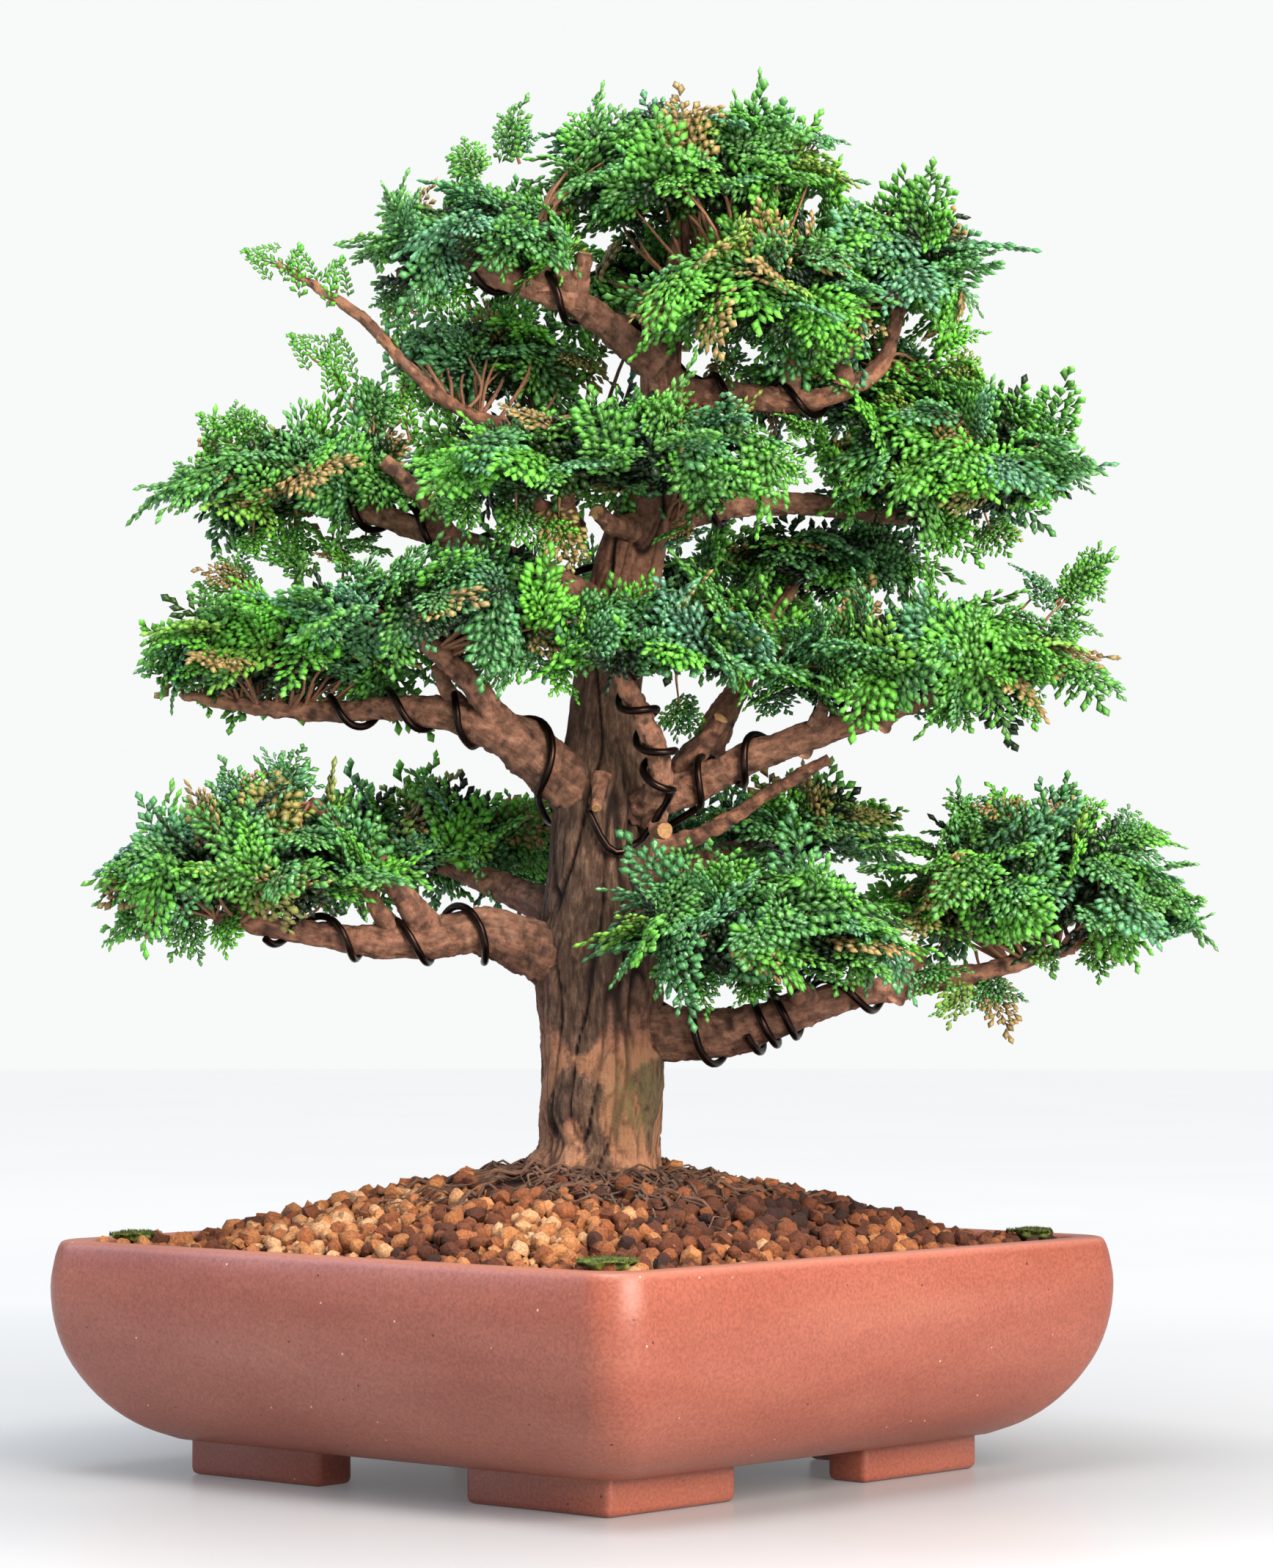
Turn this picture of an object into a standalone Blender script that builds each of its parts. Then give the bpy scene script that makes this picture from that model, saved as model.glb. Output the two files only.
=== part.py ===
"""A hinoki cypress bonsai in a square unglazed clay pot. Metres, +Z up.

The pot's sides lie along X and Y, and the origin is on the ground under the middle of the pot.
The tree is turned in its pot, so its own places are given as (u, v, z) in millimetres: u runs
along the tree's width, v from its front to its back, and z up from the ground.
"""

import math

import bmesh
import bpy
from mathutils import Matrix, Vector, noise

MM = 0.001

# Pot, in millimetres
RIM_HALF = 125.0
BELLY_HALF = 127.5
POT_TOP = 76.0
POT_BOTTOM = 12.0
WALL = 8.0
FLOOR = 8.0
CORNER_RADIUS = 15.0
SIDE_BOW = 1.2
CORNER_STEPS = 5
# Between these depths the inside of the wall follows the outside, and its floor is drawn in further
INSIDE_FROM = 5.0
INSIDE_TO = 57.0
WELL_INSET = 32.0
# Depth under the rim, and how far the wall stands in from the belly there
WALL_PROFILE = (
    (64.0, 30.0),
    (60.5, 22.4),
    (55.0, 15.4),
    (47.0, 9.0),
    (37.0, 3.8),
    (26.0, 0.9),
    (15.0, 0.0),
    (7.0, 0.8),
    (1.6, 2.0),
    (0.0, 3.6),
)
FOOT_INSET = 33.75
FOOT_LENGTH = 59.5
FOOT_WIDTH = 16.0
FOOT_BEVEL = 2.5
FOOT_SINK = 3.0
DRAIN_RADIUS = 17.0
TIE_HOLE_RADIUS = 2.5
TIE_HOLE_X = 38.0

# What lies in the pot
SCREEN_CELLS = 9
SCREEN_CELL = 4.9
SCREEN_THICK = 1.0
CLIP_RADIUS = 0.75
TIE_RADIUS = 1.0
# Height and half width of the soil's mound
MOUND = ((72.5, 116), (76, 108), (81, 90), (86.5, 70), (92, 48), (96, 30), (98, 8))
# Middle (x, y) and half sizes of each moss cushion
MOSSES = {
    "moss_front": (102, -103, 9, 8),
    "moss_left": (-104, -104, 6, 7),
    "moss_right": (105, 103, 7, 6),
}
MOSS_LIFT = 2.4
MOSS_RISE = 2.4
MOSS_SUNK = 0.2
GAP = 0.35
SOIL_GAP = 0.6

# Tree
TREE_TURN = math.radians(41.3)
TREE_MIDDLE_U = 4.0
WIRE_RADIUS = 1.25
WIRE_GAP = 0.6
WIRE_STEPS = 12
ROUTE_STEPS = 12
TRUNK_WIRE_STEP = 15
# Height, middle (u, v) and radius of the trunk
TRUNK = (
    (52.0, 5, 2, 14.0),
    (70.0, 5, 1, 24.0),
    (88.0, 4, 1, 31.0),
    (97.0, 4, 0, 27.0),
    (107.0, 5, 0, 22.5),
    (120.0, 5, 0, 20.8),
    (142.0, 5, 0, 20.8),
    (163.0, 4.5, 0, 20.6),
    (185.0, 4.5, 0, 18.4),
    (206.0, 5, 0, 16.8),
    (226.0, 6, 0, 15.2),
    (248.0, 6, 0, 11.8),
    (272.0, 9, 0, 11.4),
    (298.0, 15, 0, 11.4),
    (318.0, 20, 0, 8.6),
    (340.0, 24, 0, 7.0),
    (365.0, 25, 0, 6.6),
    (388.0, 29, 2, 4.6),
    (412.0, 32, 2, 2.6),
)
TRUNK_SIDES = 16
ROOT_LOBES = 5
ROOT_LOBE_SHARE = 0.16
ROOT_LOBE_FOOT = 60.0
ROOT_LOBE_TOP = 125.0
ROOT_LOBE_TURN = 0.6

# Branches: stems as (u, v, z, radius) points. The first stem leaves the trunk, the others fork off it.
BRANCHES = {
    "branch_lower_left": (
        ((-6, -2, 166, 9), (-18, -5, 171, 9), (-35, -10, 176, 7.6), (-60, -17, 173, 5.6),
         (-85, -26, 175, 4.2), (-118, -38, 180, 2.4)),
        ((-51, -14, 176, 4.4), (-60, -24, 190, 4), (-73, -32, 203, 3.6), (-88, -40, 217, 2.6)),
    ),
    "branch_lower_right": (
        ((10, -2, 143, 9), (28, -5, 143, 8.6), (45, -9, 143, 7.8), (62, -12, 148, 6.6),
         (84, -10, 155, 5), (108, -6, 159, 4), (134, -2, 164, 3), (160, 2, 171, 2)),
        ((73, -10, 151, 4), (68, -24, 160, 3.4), (60, -38, 168, 2.6), (48, -48, 174, 1.8)),
    ),
    "branch_lower_back": (
        ((4, 6, 186, 7), (5, 22, 190, 6.5), (7, 50, 194, 5), (9, 78, 199, 4), (10, 104, 204, 2.5)),
        ((6, 40, 192, 4), (30, 46, 198, 3.4), (52, 48, 206, 2.6), (70, 48, 212, 1.8)),
    ),
    "branch_lower_back_left": (
        ((-2, 6, 180, 6), (-14, 16, 185, 5.5), (-32, 36, 193, 4.6), (-50, 54, 200, 3.6),
         (-74, 68, 203, 2.8), (-94, 78, 206, 2)),
    ),
    "branch_middle_left": (
        ((2, -2, 220, 8.6), (-8, -6, 227, 9), (-20, -12, 236, 8.4), (-36, -18, 245, 6.6),
         (-60, -15, 249, 4.2), (-80, -8, 248, 3.4), (-102, -4, 249, 2.8), (-132, 0, 254, 1.8)),
        ((-25, -14, 240, 4.6), (-35, -27, 254, 4), (-48, -36, 266, 3.2), (-62, -42, 276, 2.2)),
    ),
    "branch_middle_right": (
        ((12, 0, 216, 6.4), (30, -1, 222, 6), (45, -3, 229, 5.4), (62, -6, 236, 5),
         (90, -10, 245, 4), (118, -12, 255, 2.6)),
    ),
    "branch_middle_right_low": (
        ((14, 4, 200, 4), (34, 8, 207, 3), (48, 9, 214, 2.6), (62, 6, 223, 2.3), (80, 2, 233, 1.8)),
    ),
    "branch_gnarled": (
        ((14, 8, 218, 7), (30, 14, 227, 6.4), (40, 18, 238, 6), (47, 22, 251, 4.6), (56, 30, 268, 3.4),
         (64, 38, 284, 2.4), (72, 46, 298, 1.8)),
    ),
    "branch_front": (
        ((18, -8, 216, 4.6), (23, -20, 222, 4.2), (24, -28, 232, 3.8), (18, -34, 246, 3.4),
         (12, -38, 258, 2.8), (14, -40, 268, 1.8)),
    ),
    "branch_middle_back": (
        ((8, 4, 258, 5.5), (10, 18, 264, 4.8), (13, 44, 274, 3.8), (15, 70, 282, 2.8), (16, 92, 288, 1.8)),
    ),
    "branch_upper_left": (
        ((10, -2, 280, 6), (-2, -6, 286, 5.6), (-20, -10, 295, 5), (-40, -12, 303, 4.4),
         (-60, -10, 310, 4), (-76, -6, 316, 3.6), (-96, 0, 327, 2)),
        ((-46, -12, 305, 3), (-50, -16, 314, 3), (-58, -18, 322, 2.8), (-66, -18, 329, 2.4)),
    ),
    "branch_right": (
        ((14, 0, 304, 6), (29, 3, 312, 5), (45, 6, 317, 4.4), (68, 8, 318, 3.8), (88, 8, 316, 3.2),
         (106, 6, 314, 2.6), (126, 2, 322, 1.8)),
    ),
    "branch_upper_back": (
        ((20, 2, 318, 5), (18, 14, 323, 4.4), (10, 38, 331, 3.4), (2, 60, 337, 2.4), (-4, 78, 341, 1.6)),
    ),
    "branch_upper_right": (
        ((24, 0, 350, 5.4), (34, -2, 353, 5), (52, -4, 352, 4.4), (74, -4, 351, 3.6), (96, -2, 362, 2.8),
         (104, 0, 384, 2)),
    ),
    "branch_apex_left": (
        ((25, -1, 362, 5.4), (14, -5, 370, 5), (0, -9, 380, 4.8), (-14, -12, 386, 4.2), (-28, -13, 390, 3.6),
         (-44, -10, 400, 2)),
        ((-4, -10, 382, 2.8), (-8, -16, 394, 2.4), (-15, -18, 408, 2)),
    ),
    "branch_apex_right": (
        ((27, 0, 374, 4.2), (40, -6, 382, 3.6), (56, -12, 388, 3), (70, -18, 392, 1.8)),
    ),
    "twig_left": (
        ((12, -2, 334, 3.4), (-12, 0, 340, 2.8), (-40, -4, 347, 2.4), (-58, -8, 361, 2), (-73, -10, 377, 1.8),
         (-101, -12, 395, 1.2)),
    ),
}

# Foliage pads: middle (u, v, z) and half sizes along u, v and z
PADS = {
    "foliage_lower_left": ((-106, -36, 199), (48, 43, 25)),
    "foliage_lower_left_back": ((-47, 54, 209), (38, 30, 20)),
    "foliage_lower_far_left_back": ((-88, 76, 207), (44, 38, 20)),
    "foliage_lower_back": ((12, 100, 207), (58, 42, 20)),
    "foliage_lower_right": ((146, 0, 192), (53, 43, 31)),
    "foliage_lower_front": ((56, -45, 178), (52, 30, 26)),
    "foliage_lower_right_back": ((72, 48, 213), (33, 29, 15)),
    "foliage_middle_left": ((-100, -4, 270), (46, 35, 24)),
    "foliage_middle_left_front": ((-46, -36, 281), (52, 32, 20)),
    "foliage_middle_front": ((28, -40, 270), (36, 26, 23)),
    "foliage_middle_right": ((108, -10, 266), (58, 38, 24)),
    "foliage_middle_back": ((15, 92, 289), (66, 42, 17)),
    "foliage_back_right": ((76, 50, 305), (44, 30, 16)),
    "foliage_upper_left": ((-94, 4, 326), (46, 35, 21)),
    "foliage_upper_front": ((10, -38, 330), (62, 34, 22)),
    "foliage_upper_back": ((-4, 78, 342), (58, 38, 20)),
    "foliage_right": ((120, 0, 333), (46, 40, 30)),
    "foliage_apex_left": ((-36, -6, 405), (40, 36, 22)),
    "foliage_apex_top": ((34, 0, 428), (51, 42, 27)),
    "foliage_apex_front": ((56, -36, 383), (40, 26, 26)),
    "foliage_apex_right": ((98, 2, 397), (35, 36, 28)),
    "foliage_apex_back": ((30, 50, 398), (46, 34, 24)),
    "foliage_apex_back_left": ((-34, 38, 371), (36, 30, 22)),
    "foliage_right_high": ((88, 26, 362), (38, 34, 20)),
}
PAD_SEGMENTS = 12
PAD_RINGS = 7
PAD_FLAT_BELOW = 0.62
PAD_ROUGH = 0.07
PAD_GRAIN = 1.7

COLOURS = {
    "clay": ((0.42, 0.15, 0.10), 0.55, 0.0),
    "soil": ((0.24, 0.10, 0.05), 0.95, 0.0),
    "moss": ((0.12, 0.20, 0.03), 0.95, 0.0),
    "bark": ((0.20, 0.12, 0.08), 0.90, 0.0),
    "foliage": ((0.04, 0.20, 0.05), 0.60, 0.0),
    "training_wire": ((0.03, 0.02, 0.02), 0.35, 1.0),
    "screen_plastic": ((0.05, 0.05, 0.05), 0.60, 0.0),
    "tie_wire": ((0.50, 0.50, 0.50), 0.35, 1.0),
}


def clear_scene():
    for thing in list(bpy.data.objects):
        bpy.data.objects.remove(thing, do_unlink=True)


def material(name):
    found = bpy.data.materials.get(name)
    if found:
        return found
    colour, roughness, metallic = COLOURS[name]
    made = bpy.data.materials.new(name)
    made.use_nodes = True
    shader = made.node_tree.nodes["Principled BSDF"]
    shader.inputs["Base Color"].default_value = (*colour, 1.0)
    shader.inputs["Roughness"].default_value = roughness
    shader.inputs["Metallic"].default_value = metallic
    made.diffuse_color = (*colour, 1.0)
    return made


def in_row(u, v, z):
    """A place on the tree, in millimetres, as a point of the object in metres."""
    across = math.cos(TREE_TURN), math.sin(TREE_TURN)
    return Vector((u * across[0] - v * across[1], u * across[1] + v * across[0], z)) * MM


def add_object(name, shape, finish, smooth=True):
    """Turns a bmesh into a scene object, and frees it."""
    bmesh.ops.triangulate(shape, faces=shape.faces)
    mesh = bpy.data.meshes.new(name)
    shape.to_mesh(mesh)
    shape.free()
    mesh.materials.append(material(finish))
    if smooth:
        mesh.shade_smooth()
        mesh.set_sharp_from_angle(angle=math.radians(40))
    thing = bpy.data.objects.new(name, mesh)
    bpy.context.scene.collection.objects.link(thing)
    return thing


def drop(thing):
    bpy.data.objects.remove(thing, do_unlink=True)


def evaluated_mesh(thing):
    bpy.context.view_layer.update()
    graph = bpy.context.evaluated_depsgraph_get()
    return bpy.data.meshes.new_from_object(thing.evaluated_get(graph))


def biggest_body(shape):
    """Deletes all but the largest connected body of a bmesh."""
    left = set(shape.verts)
    bodies = []
    while left:
        todo = [left.pop()]
        body = set(todo)
        while todo:
            for edge in todo.pop().link_edges:
                for vert in edge.verts:
                    if vert in left:
                        left.remove(vert)
                        body.add(vert)
                        todo.append(vert)
        bodies.append(body)
    bodies.sort(key=len)
    spare = [vert for body in bodies[:-1] for vert in body]
    bmesh.ops.delete(shape, geom=spare, context="VERTS")


def combine(thing, other, operation):
    """Applies an exact Boolean with another object and removes that object."""
    step = thing.modifiers.new("fit", "BOOLEAN")
    step.operation = operation
    step.solver = "EXACT"
    step.object = other
    result = evaluated_mesh(thing)
    thing.modifiers.remove(step)
    drop(other)
    shape = bmesh.new()
    shape.from_mesh(result)
    bmesh.ops.remove_doubles(shape, verts=shape.verts, dist=0.0001 * MM)
    biggest_body(shape)
    shape.to_mesh(thing.data)
    shape.free()
    bpy.data.meshes.remove(result)


def fattened(thing, by):
    """A copy of an object's mesh with every point moved out by so many millimetres."""
    shape = bmesh.new()
    shape.from_mesh(thing.data)
    shape.normal_update()
    moves = [vert.normal * by * MM for vert in shape.verts]
    for vert, move in zip(shape.verts, moves):
        vert.co += move
    return add_object("cutter", shape, "bark", smooth=False)


def box_of(thing):
    corners = [vert.co for vert in thing.data.vertices]
    low = Vector(min(corner[axis] for corner in corners) for axis in range(3))
    high = Vector(max(corner[axis] for corner in corners) for axis in range(3))
    return low, high


def meet(first, second):
    (low, high), (other_low, other_high) = box_of(first), box_of(second)
    margin = 2 * MM
    return all(
        low[axis] - margin < other_high[axis] and other_low[axis] - margin < high[axis]
        for axis in range(3)
    )


def keep_clear(thing, others, gap=GAP):
    """Cuts an object back so that it stands a small gap away from each of the others."""
    for other in others:
        if meet(thing, other):
            combine(thing, fattened(other, gap), "DIFFERENCE")


def smooth_route(points, steps):
    """Catmull-Rom points through (x, y, z, radius) points, with so many steps between two of them."""
    ends = [2 * points[0] - points[1], *points, 2 * points[-1] - points[-2]]
    route = []
    for before, start, end, after in zip(ends, ends[1:], ends[2:], ends[3:]):
        for step in range(steps):
            t = step / steps
            route.append(
                0.5
                * (
                    2 * start
                    + (end - before) * t
                    + (2 * before - 5 * start + 4 * end - after) * t * t
                    + (3 * start - before - 3 * end + after) * t**3
                )
            )
    return [*route, points[-1]]


def tube(name, route, finish, sides=8):
    """A tube through Vectors of x, y, z and radius in metres, with filled ends, as a mesh object."""
    curve = bpy.data.curves.new(name, "CURVE")
    curve.dimensions = "3D"
    curve.bevel_depth = MM
    curve.bevel_resolution = sides // 2 - 2
    curve.use_fill_caps = True
    spline = curve.splines.new("POLY")
    spline.points.add(len(route) - 1)
    for point, place in zip(spline.points, route):
        point.co = (*place[:3], 1)
        point.radius = place[3] / MM
    guide = bpy.data.objects.new(name + "_guide", curve)
    bpy.context.scene.collection.objects.link(guide)
    shape = bmesh.new()
    shape.from_mesh(evaluated_mesh(guide))
    drop(guide)
    bmesh.ops.remove_doubles(shape, verts=shape.verts, dist=0.001 * MM)
    bmesh.ops.recalc_face_normals(shape, faces=shape.faces)
    return add_object(name, shape, finish)


def stem_route(stem, steps=2):
    points = [Vector((*in_row(*stem_point[:3]), stem_point[3] * MM)) for stem_point in stem]
    return smooth_route(points, steps)


def grow(shape, cap, sections):
    """Extrudes a flat cap through (middle, size) sections, where size scales the cap's outline."""
    (middle, size), *rest = sections
    bottom = cap
    for next_middle, next_size in rest:
        grown = bmesh.ops.extrude_face_region(shape, geom=[cap])["geom"]
        if cap is not bottom:
            bmesh.ops.delete(shape, geom=[cap], context="FACES_ONLY")
        cap = next(part for part in grown if isinstance(part, bmesh.types.BMFace))
        bmesh.ops.scale(
            shape,
            vec=Vector((next_size / size, next_size / size, 1)),
            space=Matrix.Translation(-middle),
            verts=cap.verts,
        )
        bmesh.ops.translate(shape, vec=next_middle - middle, verts=cap.verts)
        middle, size = next_middle, next_size
    return cap


def square_outline(shape, half, height):
    """A flat face: a square with round corners and very slightly bowed sides."""
    corner = half - CORNER_RADIUS
    verts = []
    for quarter in range(4):
        turn = Matrix.Rotation(quarter * math.pi / 2, 3, "Z")
        for step in range(CORNER_STEPS):
            angle = math.pi / 2 * step / (CORNER_STEPS - 1)
            place = Vector((corner, corner, 0))
            place += CORNER_RADIUS * Vector((math.cos(angle), math.sin(angle), 0))
            verts.append(turn @ place)
        for share in (0.5, 0.0, -0.5):
            verts.append(turn @ Vector((corner * share, half + SIDE_BOW * (1 - share**2), 0)))
    lift = Vector((0, 0, height))
    return shape.faces.new([shape.verts.new((place + lift) * MM) for place in verts])


def wall_sections(profile, top, inward):
    """Sections of the pot's wall from its profile, drawn in by so many millimetres."""
    return [
        (Vector((0, 0, top - depth)) * MM, (BELLY_HALF - inset - inward) / BELLY_HALF)
        for depth, inset in profile
    ]


def foot_outline(shape):
    """The L of one foot, in the quarter of +X and +Y, its arms running back along both sides."""
    outer = RIM_HALF - FOOT_INSET
    inner = outer - FOOT_WIDTH
    end = outer - FOOT_LENGTH
    corners = ((end, outer), (end, inner), (inner, inner), (inner, end), (outer, end), (outer, outer))
    return shape.faces.new([shape.verts.new(Vector((x, y, 0)) * MM) for x, y in corners])


def make_foot(quarter):
    shape = bmesh.new()
    bottom = foot_outline(shape)
    grown = bmesh.ops.extrude_face_region(shape, geom=[bottom])["geom"]
    top_verts = [part for part in grown if isinstance(part, bmesh.types.BMVert)]
    bmesh.ops.translate(shape, vec=Vector((0, 0, POT_BOTTOM + FOOT_SINK)) * MM, verts=top_verts)
    upright = [edge for edge in shape.edges if abs(edge.verts[0].co.z - edge.verts[1].co.z) > MM]
    bmesh.ops.bevel(
        shape, geom=upright, offset=FOOT_BEVEL * MM, segments=2, profile=0.5, affect="EDGES", material=-1
    )
    bmesh.ops.rotate(
        shape, matrix=Matrix.Rotation(quarter * math.pi / 2, 3, "Z"), cent=(0, 0, 0), verts=shape.verts
    )
    bmesh.ops.recalc_face_normals(shape, faces=shape.faces)
    return add_object("foot_cutter", shape, "clay")


def cylinder(name, radius, low, high, middle=(0, 0), segments=24):
    shape = bmesh.new()
    place = Matrix.Translation(Vector((*middle, (low + high) / 2)) * MM)
    bmesh.ops.create_cone(
        shape, cap_ends=True, segments=segments, radius1=radius * MM, radius2=radius * MM,
        depth=(high - low) * MM, matrix=place,
    )
    return add_object(name, shape, "clay")


def make_pot():
    outside = wall_sections(WALL_PROFILE, POT_TOP, 0)
    inner_profile = [(depth, inset) for depth, inset in WALL_PROFILE if INSIDE_FROM < depth < INSIDE_TO]
    inside = wall_sections(inner_profile, POT_TOP, WALL)
    rim_inside = (Vector((0, 0, POT_TOP)) * MM, (RIM_HALF - WALL) / BELLY_HALF)
    well_floor = (Vector((0, 0, POT_BOTTOM + FLOOR)) * MM, (BELLY_HALF - WELL_INSET - WALL) / BELLY_HALF)
    shape = bmesh.new()
    cap = square_outline(shape, BELLY_HALF, outside[0][0].z / MM)
    first_size = outside[0][1]
    bmesh.ops.scale(shape, vec=Vector((first_size, first_size, 1)), verts=cap.verts)
    grow(shape, cap, [*outside, rim_inside, *reversed(inside), well_floor])
    bmesh.ops.recalc_face_normals(shape, faces=shape.faces)
    pot = add_object("pot", shape, "clay")
    for quarter in range(4):
        combine(pot, make_foot(quarter), "UNION")
    through = POT_BOTTOM - 2, POT_BOTTOM + FLOOR + 2
    combine(pot, cylinder("drain", DRAIN_RADIUS, *through), "DIFFERENCE")
    for side in (-1, 1):
        hole = cylinder("tie_hole", TIE_HOLE_RADIUS, *through, middle=(side * TIE_HOLE_X, 0), segments=12)
        combine(pot, hole, "DIFFERENCE")
    return pot


def make_screen():
    """A square of plastic mesh over the drain hole: a grid with every second cell left out."""
    side = SCREEN_CELLS * SCREEN_CELL
    shape = bmesh.new()
    bmesh.ops.create_grid(
        shape, x_segments=SCREEN_CELLS, y_segments=SCREEN_CELLS, size=side / 2 * MM
    )
    holes = []
    for face in shape.faces:
        middle = face.calc_center_median() / MM / SCREEN_CELL
        column, row = (round(value + (SCREEN_CELLS - 1) / 2) for value in middle[:2])
        if column % 2 and row % 2:
            holes.append(face)
    bmesh.ops.delete(shape, geom=holes, context="FACES")
    grown = bmesh.ops.extrude_face_region(shape, geom=shape.faces[:])["geom"]
    top = [part for part in grown if isinstance(part, bmesh.types.BMVert)]
    bmesh.ops.translate(shape, vec=Vector((0, 0, SCREEN_THICK)) * MM, verts=top)
    bmesh.ops.translate(shape, vec=Vector((0, 0, POT_BOTTOM + FLOOR + GAP)) * MM, verts=shape.verts)
    bmesh.ops.recalc_face_normals(shape, faces=shape.faces)
    return add_object("drain_screen", shape, "screen_plastic", smooth=False)


def make_clip():
    """A bent wire: over the screen, down through two of its holes and the drain, and out underneath."""
    under = POT_BOTTOM - GAP - CLIP_RADIUS
    over = POT_BOTTOM + FLOOR + 2 * GAP + SCREEN_THICK + CLIP_RADIUS
    leg = 3 * SCREEN_CELL
    half = [(0, over), (leg - 2, over), (leg - 0.3, over - 1), (leg, over - 3), (leg, under + 2.6),
            (leg + 0.6, under + 0.8), (leg + 2.4, under), (leg + 9, under)]
    along = [(-x, z) for x, z in reversed(half[1:])] + half
    route = [Vector((x, SCREEN_CELL, z, CLIP_RADIUS)) * MM for x, z in along]
    return tube("screen_clip", route, "tie_wire", sides=6)


def make_tie_wire():
    """One wire under the floor, up through both small holes and over the roots, where its ends meet."""
    under = POT_BOTTOM - GAP - TIE_RADIUS
    half = [(0, 0, under), (TIE_HOLE_X - 5, 0, under), (TIE_HOLE_X - 1.2, 0, under + 0.6),
            (TIE_HOLE_X, 0, under + 3), (TIE_HOLE_X, 0, 32), (TIE_HOLE_X, 4, 50), (36, 14, 66), (28, 27, 76),
            (15, 36, 82), (4, 39, 85), (1.8, 39.5, 86)]
    along = [(-x, y, z) for x, y, z in reversed(half[1:])] + half
    points = [Vector((x, y, z, TIE_RADIUS)) * MM for x, y, z in along]
    return tube("tie_wire", smooth_route(points, 2), "tie_wire", sides=6)


def make_soil(trunk, buried):
    """The soil fills the pot to just under its rim and rises in a mound to the trunk."""
    fit = WALL + GAP
    inner_profile = [(depth, inset) for depth, inset in WALL_PROFILE if INSIDE_FROM < depth < INSIDE_TO]
    walls = wall_sections(inner_profile, POT_TOP, fit)
    well = (Vector((0, 0, POT_BOTTOM + FLOOR + GAP)) * MM, (BELLY_HALF - WELL_INSET - fit) / BELLY_HALF)
    mound = [
        (Vector((0, 0, height)) * MM, half / BELLY_HALF)
        for height, half in MOUND
    ]
    shape = bmesh.new()
    cap = square_outline(shape, BELLY_HALF, well[0].z / MM)
    bmesh.ops.scale(shape, vec=Vector((well[1], well[1], 1)), verts=cap.verts)
    grow(shape, cap, [well, *walls, *mound])
    bmesh.ops.recalc_face_normals(shape, faces=shape.faces)
    soil = add_object("soil", shape, "soil")
    room = bmesh.new()
    side = (SCREEN_CELLS * SCREEN_CELL + 2) * MM
    low, high = (POT_BOTTOM + FLOOR - 1) * MM, (POT_BOTTOM + FLOOR + 5) * MM
    place = Matrix.Translation((0, 0, (low + high) / 2)) @ Matrix.Diagonal((side, side, high - low, 1))
    bmesh.ops.create_cube(room, size=1, matrix=place)
    combine(soil, add_object("screen_room", room, "soil", smooth=False), "DIFFERENCE")
    keep_clear(soil, [trunk, *buried], SOIL_GAP)
    return soil


def make_moss(name, x, y, half_x, half_y):
    """A low cushion of moss that lies on the soil inside the rim."""
    shape = bmesh.new()
    bmesh.ops.create_uvsphere(shape, u_segments=10, v_segments=6, radius=1)
    low = (POT_TOP + MOSS_LIFT) * MM
    for vert in shape.verts:
        vert.co = Vector((
            (x + vert.co.x * half_x) * MM,
            (y + vert.co.y * half_y) * MM,
            low + max(vert.co.z, -MOSS_SUNK) * MOSS_RISE * MM,
        ))
    bmesh.ops.recalc_face_normals(shape, faces=shape.faces)
    return add_object(name, shape, "moss")


def make_trunk():
    """The trunk, from its root stock in the soil to its thin top, with root lobes at the soil."""
    sections = [(in_row(u, v, height), radius / TRUNK[0][3]) for height, u, v, radius in TRUNK]
    shape = bmesh.new()
    foot = Matrix.Translation(sections[0][0])
    bmesh.ops.create_circle(
        shape, cap_ends=True, segments=TRUNK_SIDES, radius=TRUNK[0][3] * MM, matrix=foot
    )
    grow(shape, shape.faces[:][0], sections)
    for vert in shape.verts:
        height = vert.co.z / MM
        if ROOT_LOBE_FOOT < height < ROOT_LOBE_TOP:
            middle = in_row(TREE_MIDDLE_U, 0, height)
            out = vert.co - middle
            angle = math.atan2(out.y, out.x)
            rise = (ROOT_LOBE_TOP - height) / (ROOT_LOBE_TOP - ROOT_LOBE_FOOT)
            wave = math.cos(ROOT_LOBES * angle + ROOT_LOBE_TURN)
            vert.co = middle + out * (1 + ROOT_LOBE_SHARE * rise * wave)
    bmesh.ops.recalc_face_normals(shape, faces=shape.faces)
    return add_object("trunk", shape, "bark")


def make_branch(name, stems):
    """A branch: its own stem, with the stems that fork off it joined on."""
    branch = tube(name, stem_route(stems[0]), "bark")
    for stem in stems[1:]:
        combine(branch, tube("fork", stem_route(stem), "bark"), "UNION")
    return branch


def turns_on(stem, start, end, turns, first_turn):
    """Points of a wire wound on a stem between two of its stations, where station 1.5 is halfway from
    its second point to its third. Turn 0 is beside the stem, 0.25 above it."""
    route = stem_route(stem, ROUTE_STEPS)
    count = max(6, round(abs(turns) * WIRE_STEPS))
    points = []
    for step in range(count + 1):
        index = min((start + (end - start) * step / count) * ROUTE_STEPS, len(route) - 1.001)
        low = int(index)
        here = route[low].lerp(route[low + 1], index - low)
        along = (route[low + 1].xyz - route[low].xyz).normalized()
        side = along.cross(Vector((0, 0, 1))).normalized()
        rise = side.cross(along)
        angle = 2 * math.pi * (first_turn + turns * step / count)
        reach = here[3] + (WIRE_RADIUS + WIRE_GAP) * MM
        points.append(here.xyz + reach * (math.cos(angle) * side + math.sin(angle) * rise))
    return points


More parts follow.
